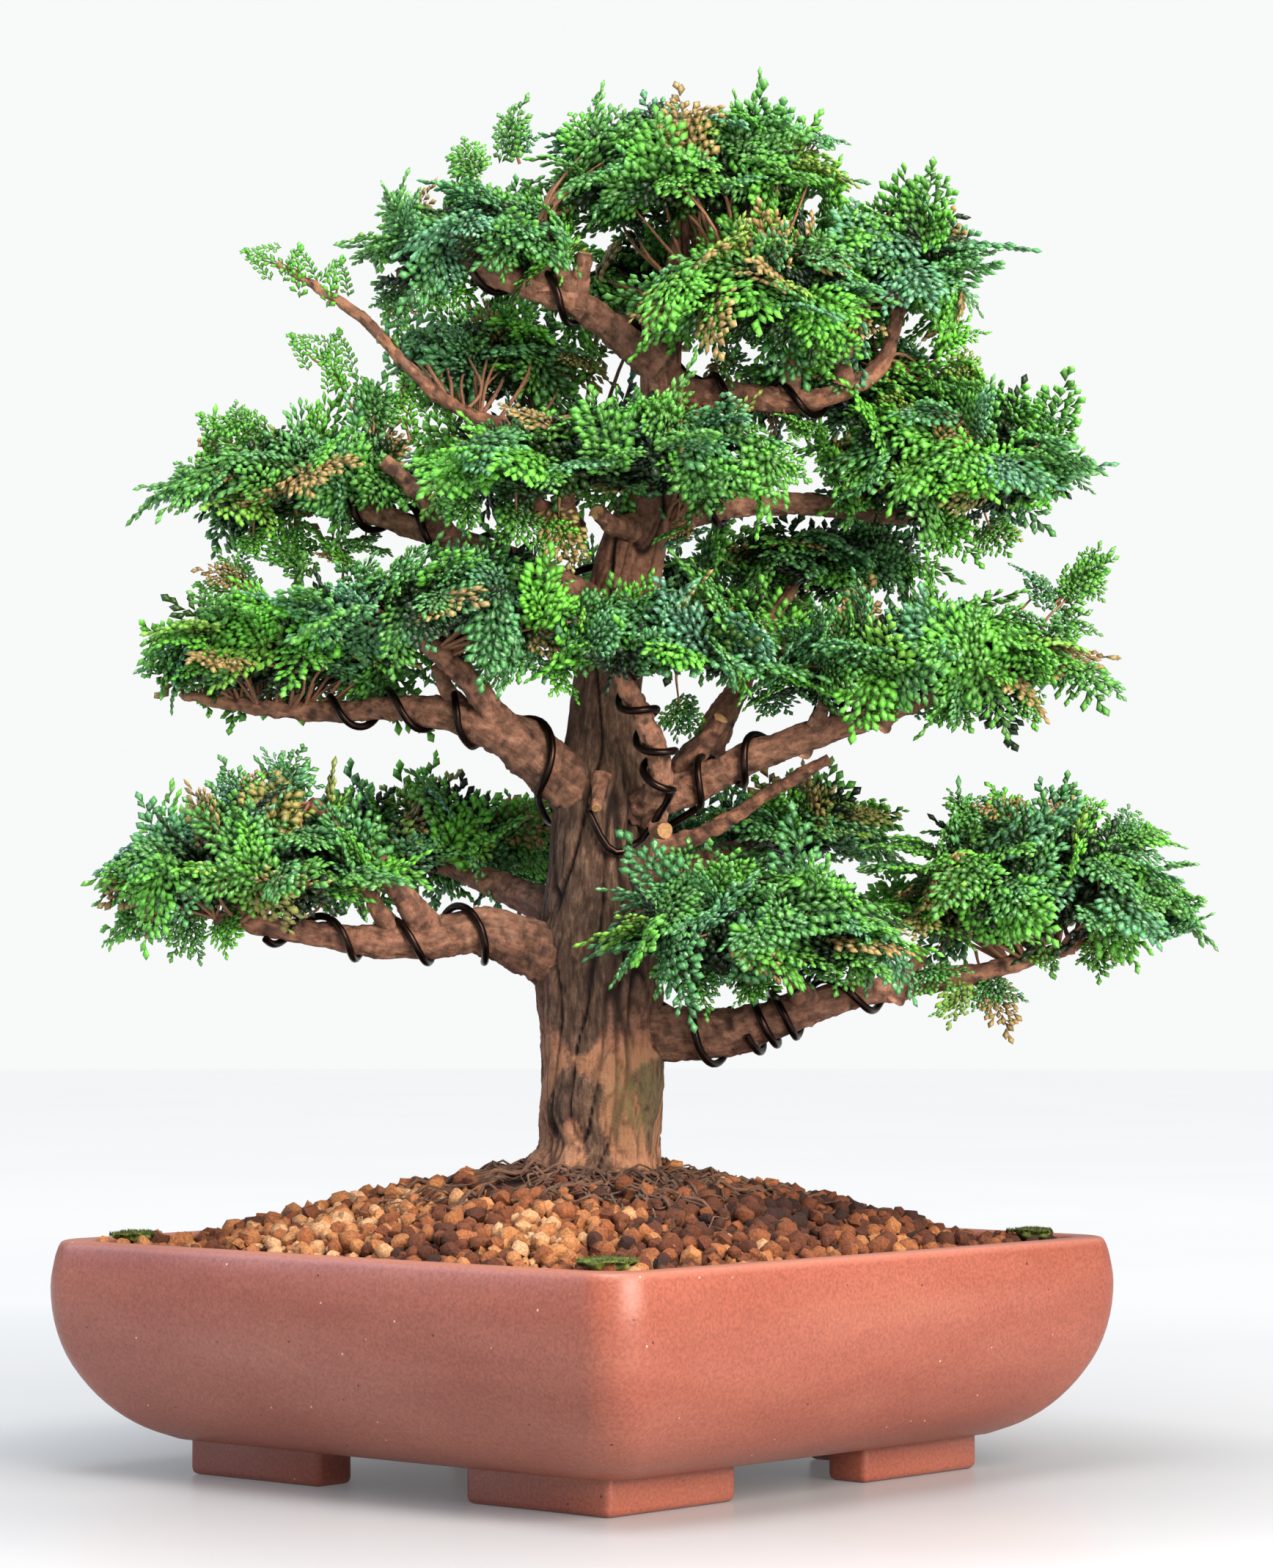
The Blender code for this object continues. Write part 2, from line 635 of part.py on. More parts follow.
def trunk_at(height):
    """The trunk's middle (u, v) and radius at a height."""
    for (low, *first), (high, *second) in zip(TRUNK, TRUNK[1:]):
        if low <= height <= high:
            share = (height - low) / (high - low)
            return [value + (other - value) * share for value, other in zip(first, second)]


def round_trunk(start, end):
    """Points of a wire on the trunk between two (height, degrees) places: 0 is to +u and 90 behind."""
    count = max(2, round(abs(end[1] - start[1]) / TRUNK_WIRE_STEP))
    points = []
    for step in range(count + 1):
        height, degrees = (first + (last - first) * step / count for first, last in zip(start, end))
        u, v, radius = trunk_at(height)
        reach = radius + WIRE_RADIUS + 2 * WIRE_GAP
        angle = math.radians(degrees)
        points.append(in_row(u + math.cos(angle) * reach, v + math.sin(angle) * reach, height))
    return points


def make_wire(name, places):
    route = [Vector((*place, WIRE_RADIUS * MM)) for place in places]
    return tube(name, route, "training_wire", sides=6)


def make_wires():
    """Each wire holds two stems and goes round the trunk between them, as wiring in pairs does."""
    stem = {name: stems[0] for name, stems in BRANCHES.items()}
    return [
        make_wire("wire_lower", [
            *turns_on(stem["branch_lower_left"], 4.55, 1.6, 3.35, -0.35),
            *round_trunk((171, 158), (154, 40)),
            *turns_on(stem["branch_lower_right"], 1.2, 2.15, -1.1, 0.45),
        ]),
        make_wire("wire_lower_right", [
            *turns_on(stem["branch_lower_right"], 2.5, 3.2, -2.2, 0.95),
            *turns_on(stem["branch_lower_right"], 3.25, 4.8, -1.3, 0.7),
        ]),
        make_wire("wire_middle", [
            *turns_on(stem["branch_middle_left"], 5.15, 3.71, 1.45, -0.7),
            *turns_on(stem["branch_middle_left"], 3.65, 3.17, 0.8, 0.8),
            *turns_on(stem["branch_middle_left"], 3.1, 1.25, 1.1, 1.65),
            *round_trunk((213, 172), (207.5, 28)),
            *turns_on(stem["branch_middle_right"], 1.2, 3.1, 1.9, 0.68),
        ]),
        make_wire("wire_front", [
            *round_trunk((215, -104), (203, -84)),
            *round_trunk((201, -74), (207, -40)),
            *turns_on(stem["branch_front"], 1.3, 4.3, 3.2, 0.6),
        ]),
        make_wire("wire_upper", [
            *turns_on(stem["branch_upper_left"], 5.6, 1.6, 3.0, 0.0),
            *round_trunk((297, 150), (306, 40)),
            *turns_on(stem["branch_right"], 1.2, 2.4, -1.2, 0.45),
        ]),
        make_wire("wire_apex", [
            *turns_on(stem["branch_apex_left"], 4.5, 1.8, 1.45, 0.56),
            *round_trunk((376, 140), (361, 30)),
            *turns_on(stem["branch_upper_right"], 1.3, 3.4, -2.0, 0.4),
        ]),
    ]


def make_pad(name, middle, half):
    """A foliage pad: a domed cloud, flatter below than above."""
    shape = bmesh.new()
    bmesh.ops.create_uvsphere(shape, u_segments=PAD_SEGMENTS, v_segments=PAD_RINGS, radius=1)
    seed = Vector((len(name) * 3.1, middle[0] * 0.17, middle[2] * 0.13))
    for vert in shape.verts:
        rough = 1 + PAD_ROUGH * noise.noise(vert.co * PAD_GRAIN + seed)
        depth = half[2] * (PAD_FLAT_BELOW if vert.co.z < 0 else 1)
        lift = half[2] * (1 - PAD_FLAT_BELOW) / 2
        place = [centre + value * size for centre, value, size in
                 zip(middle, vert.co * rough, (half[0], half[1], depth))]
        vert.co = in_row(place[0], place[1], place[2] - lift)
    bmesh.ops.recalc_face_normals(shape, faces=shape.faces)
    return add_object(name, shape, "foliage")


def build():
    clear_scene()
    pot = make_pot()
    screen = make_screen()
    clip = make_clip()
    tie = make_tie_wire()
    trunk = make_trunk()
    make_soil(trunk, [tie])
    for name, place in MOSSES.items():
        make_moss(name, *place)
    wood = [trunk]
    for name, stems in BRANCHES.items():
        branch = make_branch(name, stems)
        keep_clear(branch, wood)
        wood.append(branch)
    wires = make_wires()
    pads = []
    for name, (middle, half) in PADS.items():
        pad = make_pad(name, middle, half)
        for other in pads:
            wider = [size + GAP for size in PADS[other][1]]
            around = make_pad(other, PADS[other][0], wider)
            if meet(pad, around):
                combine(pad, around, "DIFFERENCE")
            else:
                drop(around)
        keep_clear(pad, [*wood, *wires])
        pads.append(name)


build()
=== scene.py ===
"""The looks of a hinoki cypress bonsai in a square clay pot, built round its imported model."""

import math
import random

import bmesh
import bpy
import numpy as np
from mathutils import Matrix, Vector, noise


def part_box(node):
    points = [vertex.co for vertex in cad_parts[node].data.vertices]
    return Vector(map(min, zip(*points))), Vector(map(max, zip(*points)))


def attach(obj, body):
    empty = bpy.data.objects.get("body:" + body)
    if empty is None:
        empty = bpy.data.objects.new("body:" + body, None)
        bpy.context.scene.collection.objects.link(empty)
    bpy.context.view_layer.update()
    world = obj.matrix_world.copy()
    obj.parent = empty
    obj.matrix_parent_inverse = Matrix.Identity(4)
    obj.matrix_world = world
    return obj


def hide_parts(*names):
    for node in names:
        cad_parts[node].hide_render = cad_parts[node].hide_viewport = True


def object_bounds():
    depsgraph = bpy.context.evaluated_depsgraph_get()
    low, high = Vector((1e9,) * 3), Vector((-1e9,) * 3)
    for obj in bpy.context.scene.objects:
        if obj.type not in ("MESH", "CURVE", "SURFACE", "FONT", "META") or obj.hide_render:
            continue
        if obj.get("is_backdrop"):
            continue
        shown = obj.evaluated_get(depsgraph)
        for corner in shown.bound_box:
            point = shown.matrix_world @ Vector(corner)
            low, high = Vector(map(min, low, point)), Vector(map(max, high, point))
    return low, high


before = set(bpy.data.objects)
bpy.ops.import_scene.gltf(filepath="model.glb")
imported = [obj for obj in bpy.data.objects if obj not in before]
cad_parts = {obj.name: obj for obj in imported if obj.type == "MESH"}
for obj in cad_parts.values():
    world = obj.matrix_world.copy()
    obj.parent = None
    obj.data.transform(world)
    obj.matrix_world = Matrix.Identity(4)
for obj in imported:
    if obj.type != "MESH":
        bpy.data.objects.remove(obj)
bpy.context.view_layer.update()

# ---------------------------------------------------------------------------------------------
# The table and the light: a pale polished table top in a bright room. A large window stands to
# the right of the pot, a skylight is above and a smaller, cooler window is to the left.

MM = 0.001
TREE_TURN = math.radians(41.3)


def on_tree(u, v, z):
    """A place in millimetres, u along the tree's width and v from its front to its back, in metres."""
    across = math.cos(TREE_TURN), math.sin(TREE_TURN)
    return Vector((u * across[0] - v * across[1], u * across[1] + v * across[0], z)) * MM


def colour(hexes):
    """An sRGB hex colour as linear red, green, blue and alpha."""
    parts = [int(hexes[start:start + 2], 16) / 255 for start in (0, 2, 4)]
    return (*(p / 12.92 if p <= 0.04045 else ((p + 0.055) / 1.055) ** 2.4 for p in parts), 1.0)


def node(tree, kind, inputs=None, **settings):
    """Adds a shader node. An input is a value or the output of another node."""
    made = tree.nodes.new("ShaderNode" + kind)
    for name, value in settings.items():
        setattr(made, name, value)
    for name, value in (inputs or {}).items():
        if isinstance(value, bpy.types.NodeSocket):
            tree.links.new(value, made.inputs[name])
        else:
            made.inputs[name].default_value = value
    return made


def ramp(share, *stops):
    """A colour ramp of (place, hex colour) stops."""
    made = node(share.id_data, "ValToRGB", {"Fac": share})
    elements = made.color_ramp.elements
    while len(elements) < len(stops):
        elements.new(1.0)
    for element, (place, tint) in zip(elements, stops):
        element.position = place
        element.color = colour(tint)
    return made.outputs["Color"]


def cloud(place, size, detail, roughness=0.5):
    """Fractal noise whose largest lumps are so many metres across."""
    inputs = {"Vector": place, "Scale": 1 / size, "Detail": detail, "Roughness": roughness}
    return node(place.id_data, "TexNoise", inputs).outputs["Fac"]


def cells(place, size):
    """Scattered points so many metres apart: the distance to the nearest and its random colour."""
    made = node(place.id_data, "TexVoronoi", {"Vector": place, "Scale": 1 / size, "Randomness": 1.0})
    return made.outputs["Distance"], made.outputs["Color"]


def stretched(place, share):
    """Coordinates that make a pattern longer or shorter along Z."""
    return node(place.id_data, "Mapping", {"Vector": place, "Scale": (1, 1, share)}).outputs[0]


def span(value, start, end, low=0.0, high=1.0):
    """Carries a value from one range to another."""
    return node(value.id_data, "MapRange", {"Value": value, 1: start, 2: end, 3: low, 4: high}).outputs[0]


def maths(operation, first, second):
    return node(first.id_data, "Math", {0: first, 1: second}, operation=operation).outputs[0]


def blend(share, first, second, kind="MIX"):
    """The first colour with a share of the second, which is an output or a hex colour."""
    over = colour(second) if isinstance(second, str) else second
    made = node(first.id_data, "Mix", {0: share, 6: first, 7: over}, data_type="RGBA", blend_type=kind)
    return made.outputs[2]


def bump(height, strength, depth, **under):
    inputs = {"Height": height, "Strength": strength, "Distance": depth, **under}
    return node(height.id_data, "Bump", inputs).outputs[0]


def new_finish(name, roughness, **sockets):
    """A material, its main shader and the object's own coordinates."""
    finish = bpy.data.materials.new(name)
    finish.use_nodes = True
    shader = finish.node_tree.nodes["Principled BSDF"]
    shader.inputs["Roughness"].default_value = roughness
    for socket, value in sockets.items():
        shader.inputs[socket.replace("_", " ")].default_value = value
    return finish, shader, node(finish.node_tree, "TexCoord").outputs["Object"]


def attribute(shader, name, output="Fac"):
    return node(shader.id_data, "Attribute", attribute_name=name).outputs[output]


def feed(shader, **outputs):
    for socket, output in outputs.items():
        shader.id_data.links.new(output, shader.inputs[socket.replace("_", " ")])


def add_object(name, data):
    made = bpy.data.objects.new(name, data)
    bpy.context.scene.collection.objects.link(made)
    return made


def mesh_of(name, shape):
    """Makes a bmesh a mesh and frees it."""
    mesh = bpy.data.meshes.new(name)
    shape.to_mesh(mesh)
    shape.free()
    return mesh


def add_light(name, place, size, watts, tint):
    lamp = bpy.data.lights.new(name, "AREA")
    lamp.shape = "RECTANGLE"
    lamp.size = lamp.size_y = size
    lamp.energy = watts
    lamp.color = colour(tint)[:3]
    holder = add_object(name, lamp)
    holder.location = place
    holder.rotation_euler = (Vector(place) - LIT_PLACE).to_track_quat("Z", "Y").to_euler()


LIT_PLACE = Vector((0, 0, 0.2))
add_light("window_right", (1.35, -0.3, 0.7), 0.9, 41, "FFEDE0")
add_light("skylight", (0.25, -0.45, 1.7), 0.9, 24, "FFFFFF")
add_light("window_left", (-1.3, -1.0, 0.8), 0.7, 8, "C4D8FF")

room = bpy.data.worlds.new("bright_room")
room.use_nodes = True
tree = room.node_tree
tree.nodes.clear()
seen = node(tree, "Background", {"Color": colour("F8F9F9"), "Strength": 1.0})
lighting = node(tree, "Background", {"Color": colour("F7FAFF"), "Strength": 0.4})
ray = node(tree, "LightPath")
either = {0: ray.outputs["Is Camera Ray"], 1: lighting.outputs[0], 2: seen.outputs[0]}
mixed = node(tree, "MixShader", either)
node(tree, "OutputWorld", {"Surface": mixed.outputs[0]})
bpy.context.scene.world = room
bpy.context.scene.view_settings.view_transform = "Standard"

table_finish, shader, place = new_finish("polished_white_laminate", 0.32, Emission_Strength=1.0)
# Painted light: the table top glows, dimly under and beside the pot and brighter further out,
# standing in for the room's brightness beyond the lamps' reach.
away = node(place.id_data, "VectorMath", {0: place}, operation="LENGTH").outputs["Value"]
painted_table_glow = ramp(span(away, 0.0, 1.6), (0.08, "565758"), (0.17, "A2A3A4"), (0.5, "C8C9C9"), (1.0, "D5D6D6"))
laminate = ramp(cloud(place, 0.25, 3.0), (0.35, "9FA3A6"), (0.65, "A8AAAB"))
feed(shader, Base_Color=laminate, Emission_Color=painted_table_glow)
shape = bmesh.new()
bmesh.ops.create_circle(shape, cap_ends=True, segments=64, radius=6)
table_top = add_object("table_top", mesh_of("table_top", shape))
table_top.data.materials.append(table_finish)
table_top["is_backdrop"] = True

camera = bpy.data.cameras.new("camera")
camera.sensor_width = 36
camera.lens = 102.65
eye = add_object("camera", camera)
eye.location = (0.98114, -1.09300, 0.16330)
eye.rotation_euler = (math.radians(90 + 2.394), 0, math.radians(41.265))
bpy.context.scene.camera = eye

# ---------------------------------------------------------------------------------------------
# The pot: unglazed red stoneware, pressed in a mould, burnished while damp and fired. It is a
# square tray with bowed walls, round corners and a turned-in lip, on four L-shaped feet.

RIM_HALF, BELLY_HALF, WALL = 125.0, 127.5, 8.0
POT_TOP, POT_BOTTOM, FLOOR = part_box("pot")[1].z / MM, 12.0, 8.0
CORNER_RADIUS, CORNER_STEPS, SIDE_BOW, SIDE_STEPS = 15.0, 12, 1.2, 10
# Depth under the lip, and how far the wall stands in from the belly there
WALL_PROFILE = (
    (64.0, 30.0), (60.5, 22.4), (55.0, 15.4), (47.0, 9.0), (37.0, 3.8), (26.0, 0.9), (15.0, 0.0),
    (7.0, 0.8), (3.2, 1.55), (1.2, 2.2), (0.35, 2.8), (0.0, 3.8),
)
LIP_DEPTH, WELL_TOP, WELL_HALF = 6.0, 19.5, 87.5
FOOT_INSET, FOOT_LENGTH, FOOT_WIDTH, FOOT_BEVEL, FOOT_OVERLAP = 33.75, 59.5, 16.0, 2.4, 3.0
DRAIN_RADIUS, TIE_HOLE_RADIUS, TIE_HOLE_X = 17.0, 2.5, 38.0


def smooth_route(points, steps):
    """Catmull-Rom places through Vectors, with so many steps between two of them."""
    ends = [2 * points[0] - points[1], *points, 2 * points[-1] - points[-2]]
    route = []
    for before, start, end, after in zip(ends, ends[1:], ends[2:], ends[3:]):
        for step in range(steps):
            t = step / steps
            route.append(0.5 * (
                2 * start + (end - before) * t + (2 * before - 5 * start + 4 * end - after) * t * t
                + (3 * start - before - 3 * end + after) * t**3
            ))
    return [*route, points[-1]]


def add_piece(name, shape, finish, slot, *nodes, sharp=40):
    """Makes a bmesh a piece of the object that rides with it and stands for the named CAD nodes."""
    mesh = mesh_of(name, shape)
    mesh.materials.append(finish)
    mesh.shade_smooth()
    if sharp:
        mesh.set_sharp_from_angle(angle=math.radians(sharp))
    piece = add_object(name, mesh)
    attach(piece, "root")
    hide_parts(*nodes)
    return piece


def pot_outline(shape, half, height):
    """A flat face: a square with round corners and slightly bowed sides."""
    corner = half - CORNER_RADIUS
    verts = []
    for quarter in range(4):
        turn = Matrix.Rotation(quarter * math.pi / 2, 3, "Z")
        for step in range(CORNER_STEPS + 1):
            angle = math.pi / 2 * step / CORNER_STEPS
            round_it = CORNER_RADIUS * Vector((math.cos(angle), math.sin(angle), 0))
            verts.append(turn @ (Vector((corner, corner, 0)) + round_it))
        for step in range(1, SIDE_STEPS):
            share = 1 - 2 * step / SIDE_STEPS
            verts.append(turn @ Vector((corner * share, half + SIDE_BOW * (1 - share**2), 0)))
    lift = Vector((0, 0, height))
    return shape.faces.new([shape.verts.new((place + lift) * MM) for place in verts])


def raise_wall(shape, cap, sections):
    """Extrudes a flat cap through (height, half width) sections."""
    first = cap
    (height, half), *rest = sections
    for next_height, next_half in rest:
        grown = bmesh.ops.extrude_face_region(shape, geom=[cap])["geom"]
        if cap is not first:
            bmesh.ops.delete(shape, geom=[cap], context="FACES_ONLY")
        cap = next(part for part in grown if isinstance(part, bmesh.types.BMFace))
        bmesh.ops.scale(shape, vec=(next_half / half, next_half / half, 1), verts=cap.verts)
        bmesh.ops.translate(shape, vec=(0, 0, (next_height - height) * MM), verts=cap.verts)
        height, half = next_height, next_half


def cut_hole(piece, radius, x):
    """Drills the floor of the pot."""
    drill = bmesh.new()
    place = Matrix.Translation(Vector((x, 0, POT_BOTTOM + FLOOR / 2)) * MM)
    bmesh.ops.create_cone(
        drill, cap_ends=True, segments=48, radius1=radius * MM, radius2=radius * MM,
        depth=(FLOOR + 6) * MM, matrix=place,
    )
    cutter = add_object("drill", mesh_of("drill", drill))
    hole = piece.modifiers.new("hole", "BOOLEAN")
    hole.operation = "DIFFERENCE"
    hole.object = cutter
    bpy.context.view_layer.update()
    drilled = piece.evaluated_get(bpy.context.evaluated_depsgraph_get())
    mesh = bpy.data.meshes.new_from_object(drilled)
    piece.modifiers.clear()
    piece.data = mesh
    bpy.data.objects.remove(cutter)


profile = [Vector((depth, inset, 0)) for depth, inset in WALL_PROFILE]
outside = [(POT_TOP - place.x, BELLY_HALF - place.y) for place in smooth_route(profile, 3)]
mouth = RIM_HALF - WALL
lip = [(POT_TOP, mouth + 1.5), (POT_TOP - 0.4, mouth + 0.5), (POT_TOP - 1.5, mouth)]
inside = [(height, half - WALL) for height, half in reversed(outside)
          if WELL_TOP < height < POT_TOP - LIP_DEPTH]
well = [(POT_BOTTOM + FLOOR, WELL_HALF)]
shape = bmesh.new()
cap = pot_outline(shape, BELLY_HALF, outside[0][0])
share = outside[0][1] / BELLY_HALF
bmesh.ops.scale(shape, vec=(share, share, 1), verts=cap.verts)
raise_wall(shape, cap, [*outside, *lip, *inside, *well])
bmesh.ops.recalc_face_normals(shape, faces=shape.faces)

stoneware, shader, place = new_finish("burnished_unglazed_stoneware", 0.4)
# Fired iron-red clay: faint bands from the burnishing, a sandy grain, pale grog specks and dark pits.
bands = cloud(stretched(place, 4), 0.09, 4.0)
fired = ramp(bands, (0.3, "99523F"), (0.5, "A45E4B"), (0.7, "AC6853"))
grain = cloud(place, 0.0011, 3.0, 0.7)
grained = blend(0.75, fired, ramp(grain, (0.35, "C4C0BE"), (0.65, "FFFFFF")), "MULTIPLY")
near_grog, grog_colour = cells(place, 0.0062)
grog_pick = node(place.id_data, "SeparateColor", {0: grog_colour}).outputs[0]
grog = maths("MULTIPLY", span(near_grog, 0.07, 0.045), maths("LESS_THAN", grog_pick, 0.45))
pit = span(cells(place, 0.009)[0], 0.06, 0.035)
pitted = blend(pit, blend(grog, grained, "DCB9A6"), "4C211B")
# The top 3 mm of the pot, at the rim, is paler
height = node(place.id_data, "SeparateXYZ", {0: place}).outputs["Z"]
rimmed = blend(span(height, 0.0735, 0.0765, 0.0, 0.45), pitted, "D09684")
relief = bump(maths("SUBTRACT", grain, pit), 0.35, 0.00012)
feed(shader, Base_Color=rimmed, Roughness=span(bands, 0.3, 0.7, 0.44, 0.34), Normal=relief)

pot = add_piece("clay_pot", shape, stoneware, "clay", "pot", sharp=50)
cut_hole(pot, DRAIN_RADIUS, 0)
for side in (-1, 1):
    cut_hole(pot, TIE_HOLE_RADIUS, side * TIE_HOLE_X)

outer = RIM_HALF - FOOT_INSET
inner, end = outer - FOOT_WIDTH, outer - FOOT_LENGTH
foot_corners = ((end, outer), (end, inner), (inner, inner), (inner, end), (outer, end), (outer, outer))
feet = bmesh.new()
for quarter in range(4):
    foot = feet.faces.new([feet.verts.new(Vector((x, y, 0)) * MM) for x, y in foot_corners])
    grown = bmesh.ops.extrude_face_region(feet, geom=[foot])["geom"]
    top = [part for part in grown if isinstance(part, bmesh.types.BMVert)]
    bmesh.ops.translate(feet, vec=(0, 0, (POT_BOTTOM + FOOT_OVERLAP) * MM), verts=top)
    verts = [*foot.verts, *top]
    bmesh.ops.recalc_face_normals(feet, faces=list({face for vert in verts for face in vert.link_faces}))
    edges = {edge for vert in verts for edge in vert.link_edges}
    low = [edge for edge in edges if max(vert.co.z for vert in edge.verts) < POT_BOTTOM * MM
           or edge.calc_length() > MM and abs(edge.verts[0].co.z - edge.verts[1].co.z) > MM]
    bmesh.ops.bevel(
        feet, geom=low, offset=FOOT_BEVEL * MM, segments=3, profile=0.5, affect="EDGES", material=-1
    )
    verts = [vert for vert in feet.verts if not vert.tag]
    turn = Matrix.Rotation(quarter * math.pi / 2, 3, "Z")
    bmesh.ops.rotate(feet, matrix=turn, cent=(0, 0, 0), verts=verts)
    for vert in verts:
        vert.tag = True
add_piece("clay_feet", feet, stoneware, "clay", sharp=50)

# ---------------------------------------------------------------------------------------------
# Under the soil: a square of black plastic mesh over the drain hole, the bent wire clip that holds
# it, and the aluminium tie wire that anchors the roots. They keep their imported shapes.

mesh_plastic, shader, place = new_finish("moulded_black_polyethylene", 0.5)
feed(shader, Base_Color=ramp(cloud(place, 0.004, 4.0), (0.4, "17181A"), (0.7, "33322F")))

soft_wire, shader, place = new_finish("drawn_soft_aluminium", 0.36, Metallic=1.0)
# Bare drawn wire: dull grey, darker where the damp soil has stained it.
feed(shader, Base_Color=ramp(cloud(place, 0.006, 5.0), (0.35, "6E6861"), (0.6, "B9B7B3")))
for name, finish in (("drain_screen", mesh_plastic), ("screen_clip", soft_wire), ("tie_wire", soft_wire)):
    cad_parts[name].data.materials.clear()
    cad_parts[name].data.materials.append(finish)

# ---------------------------------------------------------------------------------------------
# The soil: fired clay granules over a bed of finer, damper grains, heaped up to the trunk. Each
# granule is an angular lump 3.5 to 6 mm across, from pale orange to dark brown where it is wet.

# Distance from the middle and height of the soil there
MOUND = ((0, 98.0), (26, 96.5), (45, 92.0), (62, 88.0), (80, 83.5), (98, 78.5), (112, 74.0), (118, 72.0))
SOIL_HALF, SOIL_STEPS, BED_DEPTH = 115.5, 76, 0.8
GRAIN_SPACING, LOOSE_SHARE, LOOSE_LIFT = 4.4, 0.42, 1.9
# Few granules lie this near the trunk, and all of the ground is covered this much further out
BARE_REACH, BARE_FADE, TRUNK_REACH = 36.0, 30.0, 22.0


def soil_height(x, y):
    """The soil's height at a place in the pot, all in millimetres."""
    away = (abs(x) ** 2.6 + abs(y) ** 2.6) ** (1 / 2.6)
    ragged = 1.6 * noise.noise(Vector((x, y, 0)) * 0.045) + 0.5 * noise.noise(Vector((x, y, 7)) * 0.2)
    for (near, top), (far, bottom) in zip(MOUND, MOUND[1:]):
        if away <= far:
            return top + (bottom - top) * (away - near) / (far - near) + ragged
    return MOUND[-1][1] + ragged


shape = bmesh.new()
bmesh.ops.create_grid(shape, x_segments=SOIL_STEPS, y_segments=SOIL_STEPS, size=SOIL_HALF * MM)
for vert in shape.verts:
    vert.co.z = (soil_height(vert.co.x / MM, vert.co.y / MM) - BED_DEPTH) * MM
rim = [edge for edge in shape.edges if edge.is_boundary]
for height, half in ((45, SOIL_HALF), (21, 86)):
    grown = bmesh.ops.extrude_edge_only(shape, edges=rim)["geom"]
    skirt = [part for part in grown if isinstance(part, bmesh.types.BMVert)]
    rim = [part for part in grown if isinstance(part, bmesh.types.BMEdge)
           and part.verts[0] in skirt and part.verts[1] in skirt]
    for vert in skirt:
        vert.co = Vector((vert.co.x * half / SOIL_HALF, vert.co.y * half / SOIL_HALF, height * MM))
bmesh.ops.holes_fill(shape, edges=[edge for edge in shape.edges if edge.is_boundary])
bmesh.ops.recalc_face_normals(shape, faces=shape.faces)

peat, shader, place = new_finish("damp_fine_soil", 0.95)
# Sifted fines, rotted needles and root hairs: nearly black where damp, red-brown where dry.
crumbs = cloud(place, 0.0022, 8.0, 0.7)
soil_tone = ramp(crumbs, (0.35, "1C100B"), (0.52, "43261A"), (0.7, "7A4A30"))
feed(shader, Base_Color=soil_tone, Normal=bump(crumbs, 1.0, 0.0012))
add_piece("soil_bed", shape, peat, "granules", "soil")


def mark(piece, name, values):
    """Keeps one number for each vertex under a name that the finish reads."""
    piece.data.attributes.new(name, "FLOAT", "POINT").data.foreach_set("value", np.float32(values))


def lump(seed):
    """One granule 1 mm across: a ball knocked out of round."""
    shape = bmesh.new()
    bmesh.ops.create_uvsphere(shape, u_segments=6, v_segments=5, radius=0.5)
    for vert in shape.verts:
        knock = 1 + 0.42 * noise.noise(vert.co * 2.6 + Vector((seed * 7.3, 0, 0)))
        vert.co *= knock
    return mesh_of("lump", shape)


def copy_in(shape, mesh, place):
    """Adds a placed copy of a mesh to a bmesh."""
    copied = mesh.copy()
    copied.transform(place)
    shape.from_mesh(copied)
    bpy.data.meshes.remove(copied)


def placed(middle, turn, size):
    """A matrix that sizes a thing along its own axes, turns it and moves it to its place."""
    return Matrix.Translation(middle) @ turn.to_4x4() @ Matrix.Diagonal((*size, 1))


def random_turn(chance):
    around = Matrix.Rotation(chance.uniform(0, 2 * math.pi), 3, "Z")
    return around @ Matrix.Rotation(chance.uniform(0, 2 * math.pi), 3, "X")


chance = random.Random(41)
lumps = [lump(seed) for seed in range(9)]
shape = bmesh.new()
tones = []
steps = int(SOIL_HALF / GRAIN_SPACING)
trunk_foot = on_tree(4, 0, 0) / MM
for layer, keep in ((0, 1.0), (1, LOOSE_SHARE)):
    for row in range(-steps, steps + 1):
        for column in range(-steps, steps + 1):
            x = (column + layer * 0.5) * GRAIN_SPACING + chance.uniform(-1.7, 1.7)
            y = (row + layer * 0.5) * GRAIN_SPACING + chance.uniform(-1.7, 1.7)
            size = chance.uniform(3.2, 5.6) * (1.3 if layer else 1.0)
            away = math.hypot(x - trunk_foot.x, y - trunk_foot.y)
            cover = 0.04 + 0.96 * min(1, max(0, (away - BARE_REACH) / BARE_FADE))
            outside_pot = max(abs(x), abs(y)) > SOIL_HALF - 1
            if chance.random() > keep * cover or outside_pot or away < TRUNK_REACH:
                continue
            lift = layer * LOOSE_LIFT + chance.uniform(-0.6, 0.9)
            middle = Vector((x, y, soil_height(x, y) + lift)) * MM
            spread = [size * chance.uniform(0.8, 1.2) * MM for _ in range(3)]
            grain_mesh = lumps[chance.randrange(len(lumps))]
            copy_in(shape, grain_mesh, placed(middle, random_turn(chance), spread))
            # Each grain's tone centres on slow random patches and grows darker towards +x, +y
            grain_tone_centre = 0.5 + 0.5 * noise.noise(Vector((x, y, 3)) * 0.02) - 0.0011 * (x + y)
            tones.append(min(1, max(0, chance.gauss(grain_tone_centre, 0.2))))

granule, shader, place = new_finish("fired_clay_granules", 0.9)
